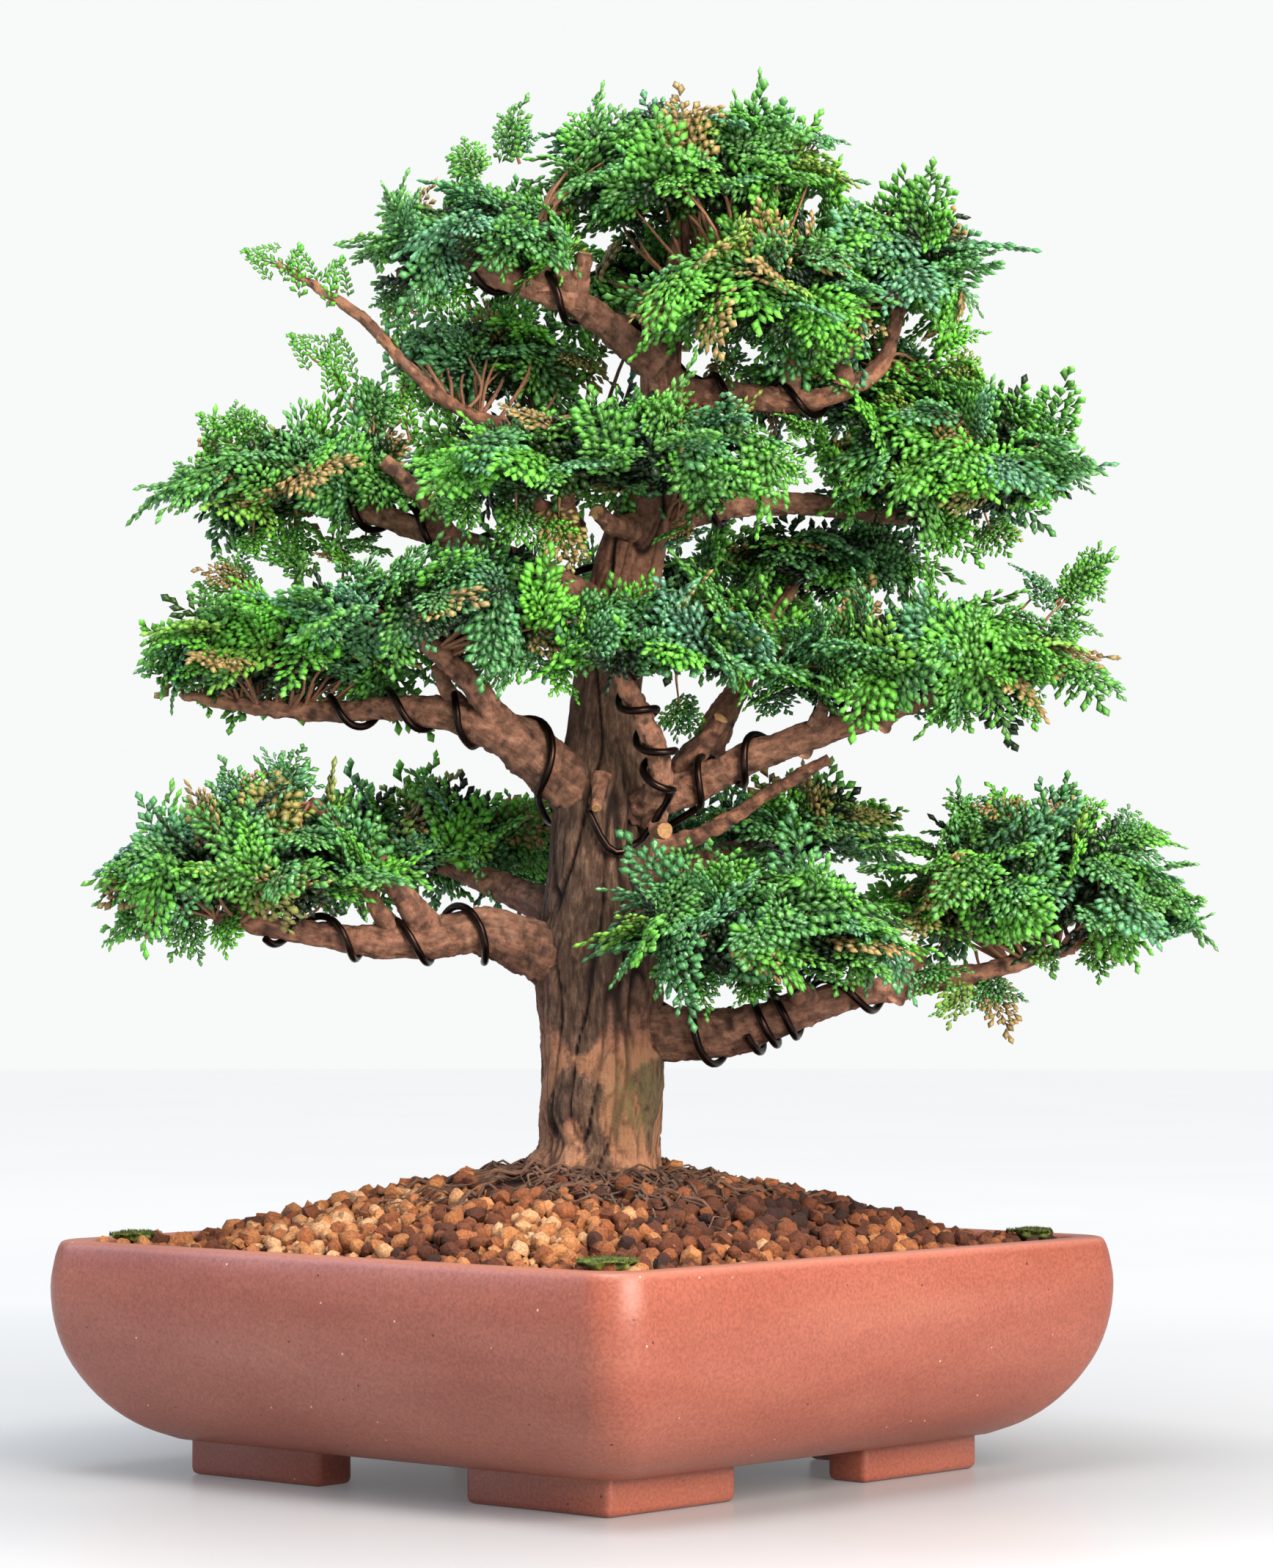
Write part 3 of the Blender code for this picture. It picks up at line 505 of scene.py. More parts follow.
# Baked volcanic clay: matt and porous, each grain its own shade from pale orange to wet brown.
tone = ramp(attribute(shader, "shade"), (0.0, "321A10"), (0.3, "6E3C22"), (0.55, "9C5E36"),
            (0.8, "C68A55"), (1.0, "DDB083"))
pores = cloud(place, 0.0009, 4.0, 0.65)
dusty = ramp(pores, (0.3, "8F8682"), (0.62, "FFFFFF"))
feed(shader, Base_Color=blend(0.8, tone, dusty, "MULTIPLY"), Normal=bump(pores, 0.9, 0.0006))
grains = add_piece("soil_granules", shape, granule, "granules", sharp=55)
mark(grains, "shade", np.repeat(tones, len(lumps[0].vertices)))

# ---------------------------------------------------------------------------------------------
# The wood: one trunk with furrowed, flaking bark over a flared root stock, and the branches that
# leave it. Lower bark is grey-brown and split lengthwise; young wood is orange and wrinkled.

# Height, middle (u, v) and radius of the trunk
TRUNK = (
    (70, 5, 1, 24), (88, 4, 1, 31), (97, 4, 0, 27), (107, 5, 0, 22.5), (120, 5, 0, 20.8),
    (142, 5, 0, 20.8), (163, 4.5, 0, 20.6), (185, 4.5, 0, 18.4), (206, 5, 0, 16.8), (226, 6, 0, 15.2),
    (248, 6, 0, 11.8), (272, 9, 0, 11.4), (298, 15, 0, 11.4), (318, 20, 0, 8.6), (340, 24, 0, 7),
    (365, 25, 0, 6.6), (388, 29, 2, 4.6), (412, 32, 2, 2.6),
)
ROOT_LOBES, ROOT_LOBE_SHARE, ROOT_LOBE_TOP, WAIST = 5, 0.16, 125.0, 4.0
TRUNK_SIDES, TRUNK_STEPS = 144, 14
CRACK_SPACING, CRACK_LENGTH, CRACK_DEPTH = 10.5, 85.0, 2.1
BRANCH_STEPS, STOUT, STOUT_SIDES, THIN_SIDES = 18, 4.5, 30, 20

# Stems as (u, v, z, radius) places. The first leaves the trunk, the others fork off it.
BRANCHES = {
    "branch_lower_left": (
        ((-6, -2, 166, 9), (-18, -5, 171, 9), (-35, -10, 176, 7.6), (-60, -17, 173, 5.6),
         (-85, -26, 175, 4.2), (-118, -38, 180, 2.4)),
        ((-51, -14, 176, 4.4), (-60, -24, 190, 4), (-73, -32, 203, 3.6), (-88, -40, 217, 2.6)),
    ),
    "branch_lower_right": (
        ((10, -2, 143, 9), (28, -5, 143, 8.6), (45, -9, 143, 7.8), (62, -12, 148, 6.6),
         (84, -10, 155, 5), (108, -6, 159, 4), (134, -2, 164, 3), (160, 2, 171, 2)),
        ((73, -10, 151, 4), (68, -24, 160, 3.4), (60, -38, 168, 2.6), (48, -48, 174, 1.8)),
    ),
    "branch_lower_back": (
        ((4, 6, 186, 7), (5, 22, 190, 6.5), (7, 50, 194, 5), (9, 78, 199, 4), (10, 104, 204, 2.5)),
        ((6, 40, 192, 4), (30, 46, 198, 3.4), (52, 48, 206, 2.6), (70, 48, 212, 1.8)),
    ),
    "branch_lower_back_left": (
        ((-2, 6, 180, 6), (-14, 16, 185, 5.5), (-32, 36, 193, 4.6), (-50, 54, 200, 3.6),
         (-74, 68, 203, 2.8), (-94, 78, 206, 2)),
    ),
    "branch_middle_left": (
        ((2, -2, 220, 8.6), (-8, -6, 227, 9), (-20, -12, 236, 8.4), (-36, -18, 245, 6.6),
         (-60, -15, 249, 4.2), (-80, -8, 248, 3.4), (-102, -4, 249, 2.8), (-132, 0, 254, 1.8)),
        ((-25, -14, 240, 4.6), (-35, -27, 254, 4), (-48, -36, 266, 3.2), (-62, -42, 276, 2.2)),
    ),
    "branch_middle_right": (
        ((12, 0, 216, 6.4), (30, -1, 222, 6), (45, -3, 229, 5.4), (62, -6, 236, 5),
         (90, -10, 245, 4), (118, -12, 255, 2.6)),
    ),
    "branch_middle_right_low": (
        ((14, 4, 200, 4), (34, 8, 207, 3), (48, 9, 214, 2.6), (62, 6, 223, 2.3), (80, 2, 233, 1.8)),
    ),
    "branch_gnarled": (
        ((14, 8, 218, 7), (30, 14, 227, 6.4), (40, 18, 238, 6), (47, 22, 251, 4.6), (56, 30, 268, 3.4),
         (64, 38, 284, 2.4), (72, 46, 298, 1.8)),
    ),
    "branch_front": (
        ((18, -8, 216, 4.6), (23, -20, 222, 4.2), (24, -28, 232, 3.8), (18, -34, 246, 3.4),
         (12, -38, 258, 2.8), (14, -40, 268, 1.8)),
    ),
    "branch_middle_back": (
        ((8, 4, 258, 5.5), (10, 18, 264, 4.8), (13, 44, 274, 3.8), (15, 70, 282, 2.8), (16, 92, 288, 1.8)),
    ),
    "branch_upper_left": (
        ((10, -2, 280, 6), (-2, -6, 286, 5.6), (-20, -10, 295, 5), (-40, -12, 303, 4.4),
         (-60, -10, 310, 4), (-76, -6, 316, 3.6), (-96, 0, 327, 2)),
        ((-46, -12, 305, 3), (-50, -16, 314, 3), (-58, -18, 322, 2.8), (-66, -18, 329, 2.4)),
    ),
    "branch_right": (
        ((14, 0, 304, 6), (29, 3, 312, 5), (45, 6, 317, 4.4), (68, 8, 318, 3.8), (88, 8, 316, 3.2),
         (106, 6, 314, 2.6), (126, 2, 322, 1.8)),
    ),
    "branch_upper_back": (
        ((20, 2, 318, 5), (18, 14, 323, 4.4), (10, 38, 331, 3.4), (2, 60, 337, 2.4), (-4, 78, 341, 1.6)),
    ),
    "branch_upper_right": (
        ((24, 0, 350, 5.4), (34, -2, 353, 5), (52, -4, 352, 4.4), (74, -4, 351, 3.6), (96, -2, 362, 2.8),
         (104, 0, 384, 2)),
    ),
    "branch_apex_left": (
        ((25, -1, 362, 5.4), (14, -5, 370, 5), (0, -9, 380, 4.8), (-14, -12, 386, 4.2),
         (-28, -13, 390, 3.6), (-44, -10, 400, 2)),
        ((-4, -10, 382, 2.8), (-8, -16, 394, 2.4), (-15, -18, 408, 2)),
    ),
    "branch_apex_right": (
        ((27, 0, 374, 4.2), (40, -6, 382, 3.6), (56, -12, 388, 3), (70, -18, 392, 1.8)),
    ),
    "twig_left": (
        ((12, -2, 334, 3.4), (-12, 0, 340, 2.8), (-40, -4, 347, 2.4), (-58, -8, 361, 2),
         (-73, -10, 377, 1.8), (-101, -12, 395, 1.2)),
    ),
}


def new_wood():
    """An empty bmesh whose vertices can say where they lie on the straightened stem (straight), how
    deep in a crack (deep), how young the bark is (young) and whether it is a cut face (cut)."""
    shape = bmesh.new()
    shape.verts.layers.float_vector.new("straight")
    for name in ("deep", "young", "cut"):
        shape.verts.layers.float.new(name)
    return shape


def carried(route):
    """The (middle, radius, side, rise, distance) of each place on a route of (x, y, z, radius). The
    cross directions are carried along without twist."""
    middles = [place.xyz for place in route]
    aims = [(after - before).normalized() for before, after in
            zip([middles[0], *middles], [*middles[1:], middles[-1]])]
    aims[0], aims[-1] = (middles[1] - middles[0]).normalized(), (middles[-1] - middles[-2]).normalized()
    side = Vector((1, 0, 0)) if abs(aims[0].x) < 0.8 else Vector((0, 0, 1))
    stations = []
    distance = 0
    for index, (place, aim) in enumerate(zip(route, aims)):
        side = (side - side.dot(aim) * aim).normalized()
        if index:
            distance += (middles[index] - middles[index - 1]).length
        stations.append((middles[index], place[3], side, aim.cross(side), distance))
    return stations


def grow_stem(shape, route, sides, bark=None, young=1.0, cut_end=False):
    """Grows a stem through (x, y, z, radius) places. The bark function gives, in millimetres, how far
    the surface stands out at a place of the straightened stem, how deep it lies and how young it is."""
    straight = shape.verts.layers.float_vector["straight"]
    deep, youth, cut = (shape.verts.layers.float[name] for name in ("deep", "young", "cut"))
    stations = carried(route)
    last = len(route) - 1
    grown = bmesh.ops.create_grid(shape, x_segments=sides, y_segments=last, size=1)["verts"]
    for vert in grown:
        angle = math.pi * (vert.co.x + 1)
        index = round((vert.co.y + 1) / 2 * last)
        middle, radius, side, rise, distance = stations[index]
        cosine, sine = math.cos(angle), math.sin(angle)
        laid = Vector((radius * cosine, radius * sine, distance)) / MM
        out, depth, new = bark(laid, radius / MM) if bark else (0, 0, young)
        vert.co = middle + (cosine * side + sine * rise) * (radius + out * MM)
        vert[straight] = laid * MM
        vert[deep], vert[youth] = depth, new
        vert[cut] = 1.0 if cut_end and index == last else 0.0
    bmesh.ops.remove_doubles(shape, verts=grown, dist=0.001 * MM)
    kept = [vert for vert in grown if vert.is_valid]
    around = {edge for vert in kept for edge in vert.link_edges if edge.is_boundary}
    bmesh.ops.holes_fill(shape, edges=list(around))


def add_wood(name, shape, finish, slot, *nodes, sharp=0):
    bmesh.ops.recalc_face_normals(shape, faces=shape.faces)
    add_piece(name, shape, finish, slot, *nodes, sharp=sharp)


def smoothstep(low, high, value):
    share = min(1, max(0, (value - low) / (high - low)))
    return share * share * (3 - 2 * share)


def old_bark(laid, radius):
    """Split, flaking bark of the trunk."""
    height = laid.z + TRUNK_LOW
    wander = Vector((0, 0, 0.01 * laid.z))
    across = Vector((laid.x / CRACK_SPACING, laid.y / CRACK_SPACING, laid.z / CRACK_LENGTH))
    across += wander
    main = smoothstep(0.01, 0.11, abs(noise.noise(across * 1.15)))
    side = smoothstep(0.0, 0.16, abs(noise.noise(across * 2.3 + Vector((9, 4, 2)))))
    flakes = noise.noise(laid * 0.16 + Vector((3, 0, 0)))
    lumps = noise.noise(Vector((laid.x * 0.06, laid.y * 0.06, laid.z * 0.025)))
    fine = noise.noise(laid * 0.7)
    patch = noise.noise(Vector((laid.x * 0.075, laid.y * 0.075, laid.z * 0.05 + 5)))
    peeled = smoothstep(-0.04, -0.01, patch) * (smoothstep(168, 135, height) * smoothstep(88, 100, height))
    upper = smoothstep(230, 300, height)
    strength = min(1.0, radius / 16)
    relief = CRACK_DEPTH * (main - 1) * (1 - 0.5 * peeled) + 0.6 * (side - 1) * (1 - 0.6 * peeled)
    relief += 0.5 * flakes + 1.5 * lumps + 0.22 * fine - 0.5 * peeled
    # Slimmer above the soil, where the roots fan out in ribs
    swell = -WAIST * smoothstep(120, 100, height)
    if height < ROOT_LOBE_TOP:
        ribs = math.cos(ROOT_LOBES * math.atan2(laid.y, laid.x) + 0.6)
        swell += radius * ROOT_LOBE_SHARE * (ROOT_LOBE_TOP - height) / 65 * ribs
    # How deep in a split: the bark finish paints this as shade
    depth = 1 - min(main + 0.35 * peeled, 0.45 + 0.55 * side, 1)
    return relief * strength + swell, max(0, depth), min(1, 0.1 + 0.85 * peeled + 0.6 * upper)


def young_bark(laid, radius):
    """Bark of the branches: knobbly, a little wrinkled, with papery flakes."""
    lumps = noise.noise(laid * 0.13)
    wrinkle = noise.noise(Vector((laid.x * 0.22, laid.y * 0.22, laid.z * 0.4)))
    torn = noise.noise(Vector((laid.x * 0.3, laid.y * 0.3, laid.z * 0.22)) + Vector((5, 5, 0)))
    flakes = smoothstep(-0.02, 0.05, torn + 0.3 * noise.noise(laid * 0.8))
    size = min(radius, 7)
    relief = size * 0.17 * lumps + 0.07 * size * wrinkle + 0.5 * (flakes - 0.5)
    relief += 0.25 * noise.noise(laid * 0.7)
    flare = 0.5 * radius * math.exp(-laid.z / 7)
    # How deep in a wrinkle or under a flake: the bark finish paints this as shade
    depth = 0.45 * smoothstep(0.15, 0.5, -wrinkle) + 0.3 * (1 - flakes)
    return relief + flare, min(1, depth), 0.45 + 0.4 * (1 - min(1, radius / 9)) + 0.15 * flakes


TRUNK_LOW = TRUNK[0][0]
trunk_places = [Vector((*on_tree(u, v, z), radius * MM)) for z, u, v, radius in TRUNK]
trunk = new_wood()
grow_stem(trunk, smooth_route(trunk_places, TRUNK_STEPS), TRUNK_SIDES, old_bark)

bark, shader, place = new_finish("flaking_cypress_bark", 0.88)
# Stringy bark: grey on the plates and salmon where it has peeled. Splits and wrinkles are painted
# near black by how deep they lie, as painted shade. The pattern is drawn along the stem, stretched
# lengthwise four times.
straight = attribute(shader, "straight", "Vector")
young = attribute(shader, "young")
fibres = cloud(stretched(straight, 0.25), 0.0016, 6.0, 0.65)
blotch = cloud(straight, 0.0032, 7.0, 0.74)
old_tone = ramp(fibres, (0.25, "2C2119"), (0.45, "544031"), (0.6, "77604D"), (0.8, "A08B76"))
new_tone = ramp(blotch, (0.25, "4C3122"), (0.4, "8C6048"), (0.52, "B5826A"), (0.65, "C99A7E"),
                (0.8, "DDBAA0"))
peeled = blend(span(young, 0.8, 0.95, 0.0, 0.45), blend(young, old_tone, new_tone), "CF9A6E")
streaked = blend(0.5, peeled, ramp(fibres, (0.3, "9A8E88"), (0.6, "FFFFFF")), "MULTIPLY")
# Painted shade: the deeper a split or wrinkle lies, the nearer black it is painted
splits_shaded = blend(span(attribute(shader, "deep"), 0.1, 0.85, 0.0, 0.92), streaked, "1E120D")
# Green algae on the damp side of the trunk, just above the soil
ends = {0: place, 1: tuple(on_tree(20, -16, 122))}
from_damp = node(place.id_data, "VectorMath", ends, operation="DISTANCE").outputs["Value"]
algae = maths("MULTIPLY", span(from_damp, 0.020, 0.006), span(blotch, 0.42, 0.56, 0.0, 0.75))
fresh = ramp(blotch, (0.35, "B98550"), (0.65, "E3BC88"))
feed(shader, Base_Color=blend(attribute(shader, "cut"), blend(algae, splits_shaded, "66663A"), fresh),
     Normal=bump(blotch, 1.0, 0.0017, Normal=bump(fibres, 0.6, 0.0008)))
add_wood("trunk_wood", trunk, bark, "bark", "trunk")


def stem_route(stem, steps):
    return smooth_route([Vector((*on_tree(*place[:3]), place[3] * MM)) for place in stem], steps)


for name, stems in BRANCHES.items():
    branch = new_wood()
    for stem in stems:
        sides = STOUT_SIDES if stem[0][3] > STOUT else THIN_SIDES
        grow_stem(branch, stem_route(stem, BRANCH_STEPS), sides, young_bark)
    add_wood("limb_" + name.removeprefix("branch_"), branch, bark, "bark", name)

# Stubs: old side shoots cut back with side cutters, each with a pale flat end. Each row is the
# root and the tip (u, v, z) and the radius.
STUBS = (
    (5, -15, 227, 4, -22, 216, 1.8), (22, -11, 213, 26, -21, 209, 2.6),
    (-12, -10, 312, -20, -20, 321, 2.6), (-5, -9, 308, -6, -20, 318, 2.6),
    (14, -10, 308, 4, -24, 312, 2.8), (66, -4, 352, 70, -10, 372, 2.6), (84, -4, 356, 93, -8, 388, 2.4),
    (-4, -9, 382, 0, -14, 398, 2.8), (-22, -12, 388, -30, -17, 398, 2.8),
    (-14, -12, 386, -16, -16, 408, 2.6), (30, -2, 356, 18, -10, 382, 2.6),
    (70, -4, 236, 78, -12, 250, 2.4), (96, -10, 244, 106, -16, 256, 2.2),
    (100, -7, 155, 110, -12, 170, 2.4), (-40, -17, 248, -48, -24, 262, 2.4),
    (-62, -18, 176, -72, -26, 194, 2.4), (30, 6, 226, 44, -6, 246, 3.2),
)
stubs = new_wood()
for *places, radius in STUBS:
    start, end = on_tree(*places[:3]), on_tree(*places[3:])
    bend = (start + end) / 2 + Vector((0, 0, -1.5 * MM))
    chamfer = end + (end - start) * 0.004
    shares = ((start, 1.25), (bend, 1.0), (end, 0.92), (chamfer, 0.85))
    places = [Vector((*spot, radius * share * MM)) for spot, share in shares]
    grow_stem(stubs, [*smooth_route(places[:3], 9), places[3]], 14, young_bark, cut_end=True)
add_wood("cut_stubs", stubs, bark, "bark", sharp=45)

# Surface roots: wiry brown rootlets that lie in a mat on the soil round the root stock.
ROOTLETS, ROOTLET_STRIDE = 420, 5
rootlets = new_wood()
chance = random.Random(8)
for _ in range(ROOTLETS):
    angle = chance.uniform(0, 2 * math.pi)
    away = 20 + 42 * chance.random() ** 1.4 + (chance.random() < 0.15) * 30
    x, y = trunk_foot.x + away * math.cos(angle), trunk_foot.y + away * math.sin(angle)
    heading = angle + chance.gauss(0, 0.9)
    radius = chance.choice((0.35, 0.45, 0.6, 0.9))
    hop = chance.choice((0.6, 1.4, 3.4))
    places = []
    for step in range(chance.randint(4, 8)):
        if max(abs(x), abs(y)) > SOIL_HALF - 3:
            break
        lift = 0.9 + hop * math.sin(step * 1.3) ** 2 + chance.uniform(0, 1.4)
        places.append(Vector((x, y, soil_height(x, y) + lift, radius * (1 - 0.06 * step))) * MM)
        x, y = x + ROOTLET_STRIDE * math.cos(heading), y + ROOTLET_STRIDE * math.sin(heading)
        heading += chance.gauss(0, 0.45)
    if len(places) > 2:
        grow_stem(rootlets, smooth_route(places, 2), 5, young=chance.uniform(0.0, 0.45))
add_wood("surface_rootlets", rootlets, bark, "bark")

# ---------------------------------------------------------------------------------------------
# The training wire: 2.5 mm soft aluminium, anodised dark brown, wound round the branches and, where
# one wire holds two of them, across the trunk between them.

WIRE_RADIUS, WIRE_GAP, TURN_STEPS = 1.25, 0.6, 28
STATION_STEPS, TRUNK_WIRE_STEP = 12, 6


def turns_on(name, start, end, turns, first_turn):
    """Places of a wire wound on a branch from one station to another. Station 1.5 is halfway from the
    branch's second place to its third. Turn 0 is beside the branch and 0.25 above it."""
    route = stem_route(BRANCHES[name][0], STATION_STEPS)
    count = round(abs(turns) * TURN_STEPS)
    places = []
    for step in range(count + 1):
        index = min((start + (end - start) * step / count) * STATION_STEPS, len(route) - 1.001)
        low = int(index)
        here = route[low].lerp(route[low + 1], index - low)
        along = (route[low + 1].xyz - route[low].xyz).normalized()
        side = along.cross(Vector((0, 0, 1))).normalized()
        rise = side.cross(along)
        angle = 2 * math.pi * (first_turn + turns * step / count)
        reach = here[3] + (WIRE_RADIUS + WIRE_GAP) * MM
        places.append(here.xyz + reach * (math.cos(angle) * side + math.sin(angle) * rise))
    return places


def trunk_at(height):
    """The trunk's middle (u, v) and radius at a height."""
    for (low, *first), (high, *second) in zip(TRUNK, TRUNK[1:]):
        if low <= height <= high:
            share = (height - low) / (high - low)
            return [value + (other - value) * share for value, other in zip(first, second)]


def round_trunk(start, end):
    """Places of a wire on the trunk between two (height, degrees) places: 0 is to +u and 90 behind."""
    count = max(3, round(abs(end[1] - start[1]) / TRUNK_WIRE_STEP))
    places = []
    for step in range(count + 1):
        height, degrees = (first + (last - first) * step / count for first, last in zip(start, end))
        u, v, radius = trunk_at(height)
        reach = radius + WIRE_RADIUS + 2 * WIRE_GAP
        angle = math.radians(degrees)
        places.append(on_tree(u + math.cos(angle) * reach, v + math.sin(angle) * reach, height))
    return places


WIRES = {
    "wire_lower": [
        *turns_on("branch_lower_left", 4.55, 1.6, 3.35, -0.35), *round_trunk((171, 158), (154, 40)),
        *turns_on("branch_lower_right", 1.2, 2.15, -1.1, 0.45)],
    "wire_lower_right": [
        *turns_on("branch_lower_right", 2.5, 3.2, -2.2, 0.95),
        *turns_on("branch_lower_right", 3.25, 4.8, -1.3, 0.7)],
    "wire_middle": [
        *turns_on("branch_middle_left", 5.15, 3.71, 1.45, -0.7),
        *turns_on("branch_middle_left", 3.65, 3.17, 0.8, 0.8),
        *turns_on("branch_middle_left", 3.1, 1.25, 1.1, 1.65), *round_trunk((213, 172), (207.5, 28)),
        *turns_on("branch_middle_right", 1.2, 3.1, 1.9, 0.68)],
    "wire_front": [
        *round_trunk((215, -104), (203, -84)), *round_trunk((201, -74), (207, -40)),
        *turns_on("branch_front", 1.3, 4.3, 3.2, 0.6)],
    "wire_upper": [
        *turns_on("branch_upper_left", 5.6, 1.6, 3.0, 0.0), *round_trunk((297, 150), (306, 40)),
        *turns_on("branch_right", 1.2, 2.4, -1.2, 0.45)],
    "wire_apex": [
        *turns_on("branch_apex_left", 4.5, 1.8, 1.45, 0.56), *round_trunk((376, 140), (361, 30)),
        *turns_on("branch_upper_right", 1.3, 3.4, -2.0, 0.4)],
}

anodised, shader, place = new_finish("brown_anodised_aluminium", 0.3, Metallic=0.85)
# Soft drawn wire dyed dark brown: satin, with paler scuffs where the pliers and bark have rubbed it.
rubs = cloud(stretched(attribute(shader, "straight", "Vector"), 0.2), 0.0014, 5.0)
dyed = ramp(rubs, (0.5, "1B120F"), (0.72, "4A362D"))
feed(shader, Base_Color=dyed, Normal=bump(rubs, 0.2, 0.0002))
for name, places in WIRES.items():
    shape = new_wood()
    eased = [(a + 2 * b + c) / 4 for a, b, c in zip(places, places[1:], places[2:])]
    eased = [places[0], *eased, places[-1]]
    grow_stem(shape, [Vector((*place, WIRE_RADIUS * MM)) for place in eased], 12)
    add_wood(name.replace("wire", "winding"), shape, anodised, "training_wire", name, sharp=50)

# ---------------------------------------------------------------------------------------------
# The foliage: flat feathery sprays of scale leaves, 20 to 35 mm long, layered like shingles on thin
# twigs that spread from the branches to the outside of each pad. A spray is an axis with side
# shoots, and each shoot is a double row of pointed leaf lobes about 4 mm long and 2.5 mm wide.

# Middle (u, v, z) and half sizes of each pad
PADS = {
    "lower_left": ((-106, -36, 199), (48, 43, 25)),
    "lower_left_back": ((-47, 54, 209), (38, 30, 20)),
    "lower_far_left_back": ((-88, 76, 207), (44, 38, 20)),
    "lower_back": ((12, 100, 207), (58, 42, 20)),
    "lower_right": ((146, 0, 192), (53, 43, 31)),
    "lower_front": ((56, -45, 178), (52, 30, 26)),
    "lower_right_back": ((72, 48, 213), (33, 29, 15)),
    "middle_left": ((-100, -4, 270), (46, 35, 24)),
    "middle_left_front": ((-46, -36, 281), (52, 32, 20)),
    "middle_front": ((28, -40, 270), (36, 26, 23)),
    "middle_right": ((108, -10, 266), (58, 38, 24)),
    "middle_back": ((15, 92, 289), (66, 42, 17)),
    "back_right": ((76, 50, 305), (44, 30, 16)),
    "upper_left": ((-94, 4, 326), (46, 35, 21)),
    "upper_front": ((10, -38, 330), (62, 34, 22)),
    "upper_back": ((-4, 78, 342), (58, 38, 20)),
    "right": ((120, 0, 333), (46, 40, 30)),
    "apex_left": ((-36, -6, 405), (40, 36, 22)),
    "apex_top": ((34, 0, 428), (51, 42, 27)),
    "apex_front": ((56, -36, 383), (40, 26, 26)),
    "apex_right": ((98, 2, 397), (35, 36, 28)),
    "apex_back": ((30, 50, 398), (46, 34, 24)),
    "apex_back_left": ((-34, 38, 371), (36, 30, 22)),
    "right_high": ((88, 26, 362), (38, 34, 20)),
}
LOBE_LENGTH, LOBE_WIDTH, LOBE_THICK = 4.3, 2.5, 1.5
NODE_SPACING, LOBE_STEP, LOBE_SPLAY = 3.3, 2.0, 0.4


def lobe():
    """One leaf lobe along X, 1 long, wide and thick, widest near its tip."""
    shape = bmesh.new()
    bmesh.ops.create_uvsphere(shape, u_segments=4, v_segments=2, radius=1)
    for vert in shape.verts:
        along = (vert.co.z + 1) / 2 if abs(vert.co.z) > 0.5 else 0.64
        vert.co = Vector((along, vert.co.y * 0.5, vert.co.x * 0.5))
    bmesh.ops.recalc_face_normals(shape, faces=shape.faces)
    return mesh_of("lobe", shape)


def fan(seed, nodes, reach):
    """A spray along X in millimetres with so many side shoots on each side. Also each vertex's share
    of the way to the tips, with a rise from each lobe's base to its tip that paints shading on it."""
    chance = random.Random(seed)
    shape = bmesh.new()
    tips = []

    def shoot(start, heading, count, size, first):
        place = start
        for index in range(count):
            splay = 0 if index == count - 1 else LOBE_SPLAY * (-1) ** index
            turn = Matrix.Rotation(heading + splay + chance.uniform(-0.15, 0.15), 3, "Z")
            turn = turn @ Matrix.Rotation(chance.uniform(-0.25, 0.25), 3, "X")
            turn = turn @ Matrix.Rotation(chance.uniform(-0.18, 0.18), 3, "Y")
            scale = size * chance.uniform(0.82, 1.18)
            spread = (LOBE_LENGTH * scale, LOBE_WIDTH * scale, LOBE_THICK * scale)
            copy_in(shape, leaf, placed(place, turn, spread))
            share = first + (1 - first) * (index + 0.5) / count
            # Painted shading: each lobe is darker at its base and lighter at its tip
            tips.extend(share - 0.15 + 0.25 * vert.co.x for vert in leaf.vertices)
            place = place + Vector((math.cos(heading), math.sin(heading), 0)) * LOBE_STEP * scale

    for index in range(nodes + 1):
        start = Vector((index * NODE_SPACING, chance.uniform(-0.3, 0.3), 0))
        shoot(start, 0.0, 3 if index == nodes else 1, 0.92, 0.35 * index / nodes)
    for index in range(nodes):
        share = (index + 0.5) / nodes
        wide = math.sin(math.pi * min(1, 0.3 + 0.62 * share))
        for side in (-1, 1):
            count = max(1, round(reach * wide + chance.uniform(-0.6, 0.6)))
            along = (index + (side > 0) * 0.5 + 0.3) * NODE_SPACING
            start = Vector((along, side * 0.6, chance.uniform(-0.6, 0.6)))
            heading = side * (0.95 - 0.3 * share + chance.uniform(-0.15, 0.15))
            shoot(start, heading, count, 0.98 - 0.14 * share, 0.25 + 0.3 * share)
    length = (nodes + 2) * NODE_SPACING
    for vert in shape.verts:
        vert.co.z += 2.0 * math.sin(vert.co.x / length * 2.6) - 0.02 * vert.co.y**2
    return mesh_of("fan", shape), np.clip(np.float32(tips), 0, 1)


# Side shoots on each side and lobes on the longest of them. The last is the slim spray.
FANS = ((6, 4.6), (7, 4.2), (6, 4.0), (5, 5.0), (7, 3.6), (5, 4.2), (6, 4.6), (5, 3.8), (5, 0.8))
leaf = lobe()
fans = [fan(seed, nodes, reach) for seed, (nodes, reach) in enumerate(FANS, start=1)]
SLIM = len(fans) - 1

scale_leaf, shader, place = new_finish("waxy_scale_leaves", 0.36)
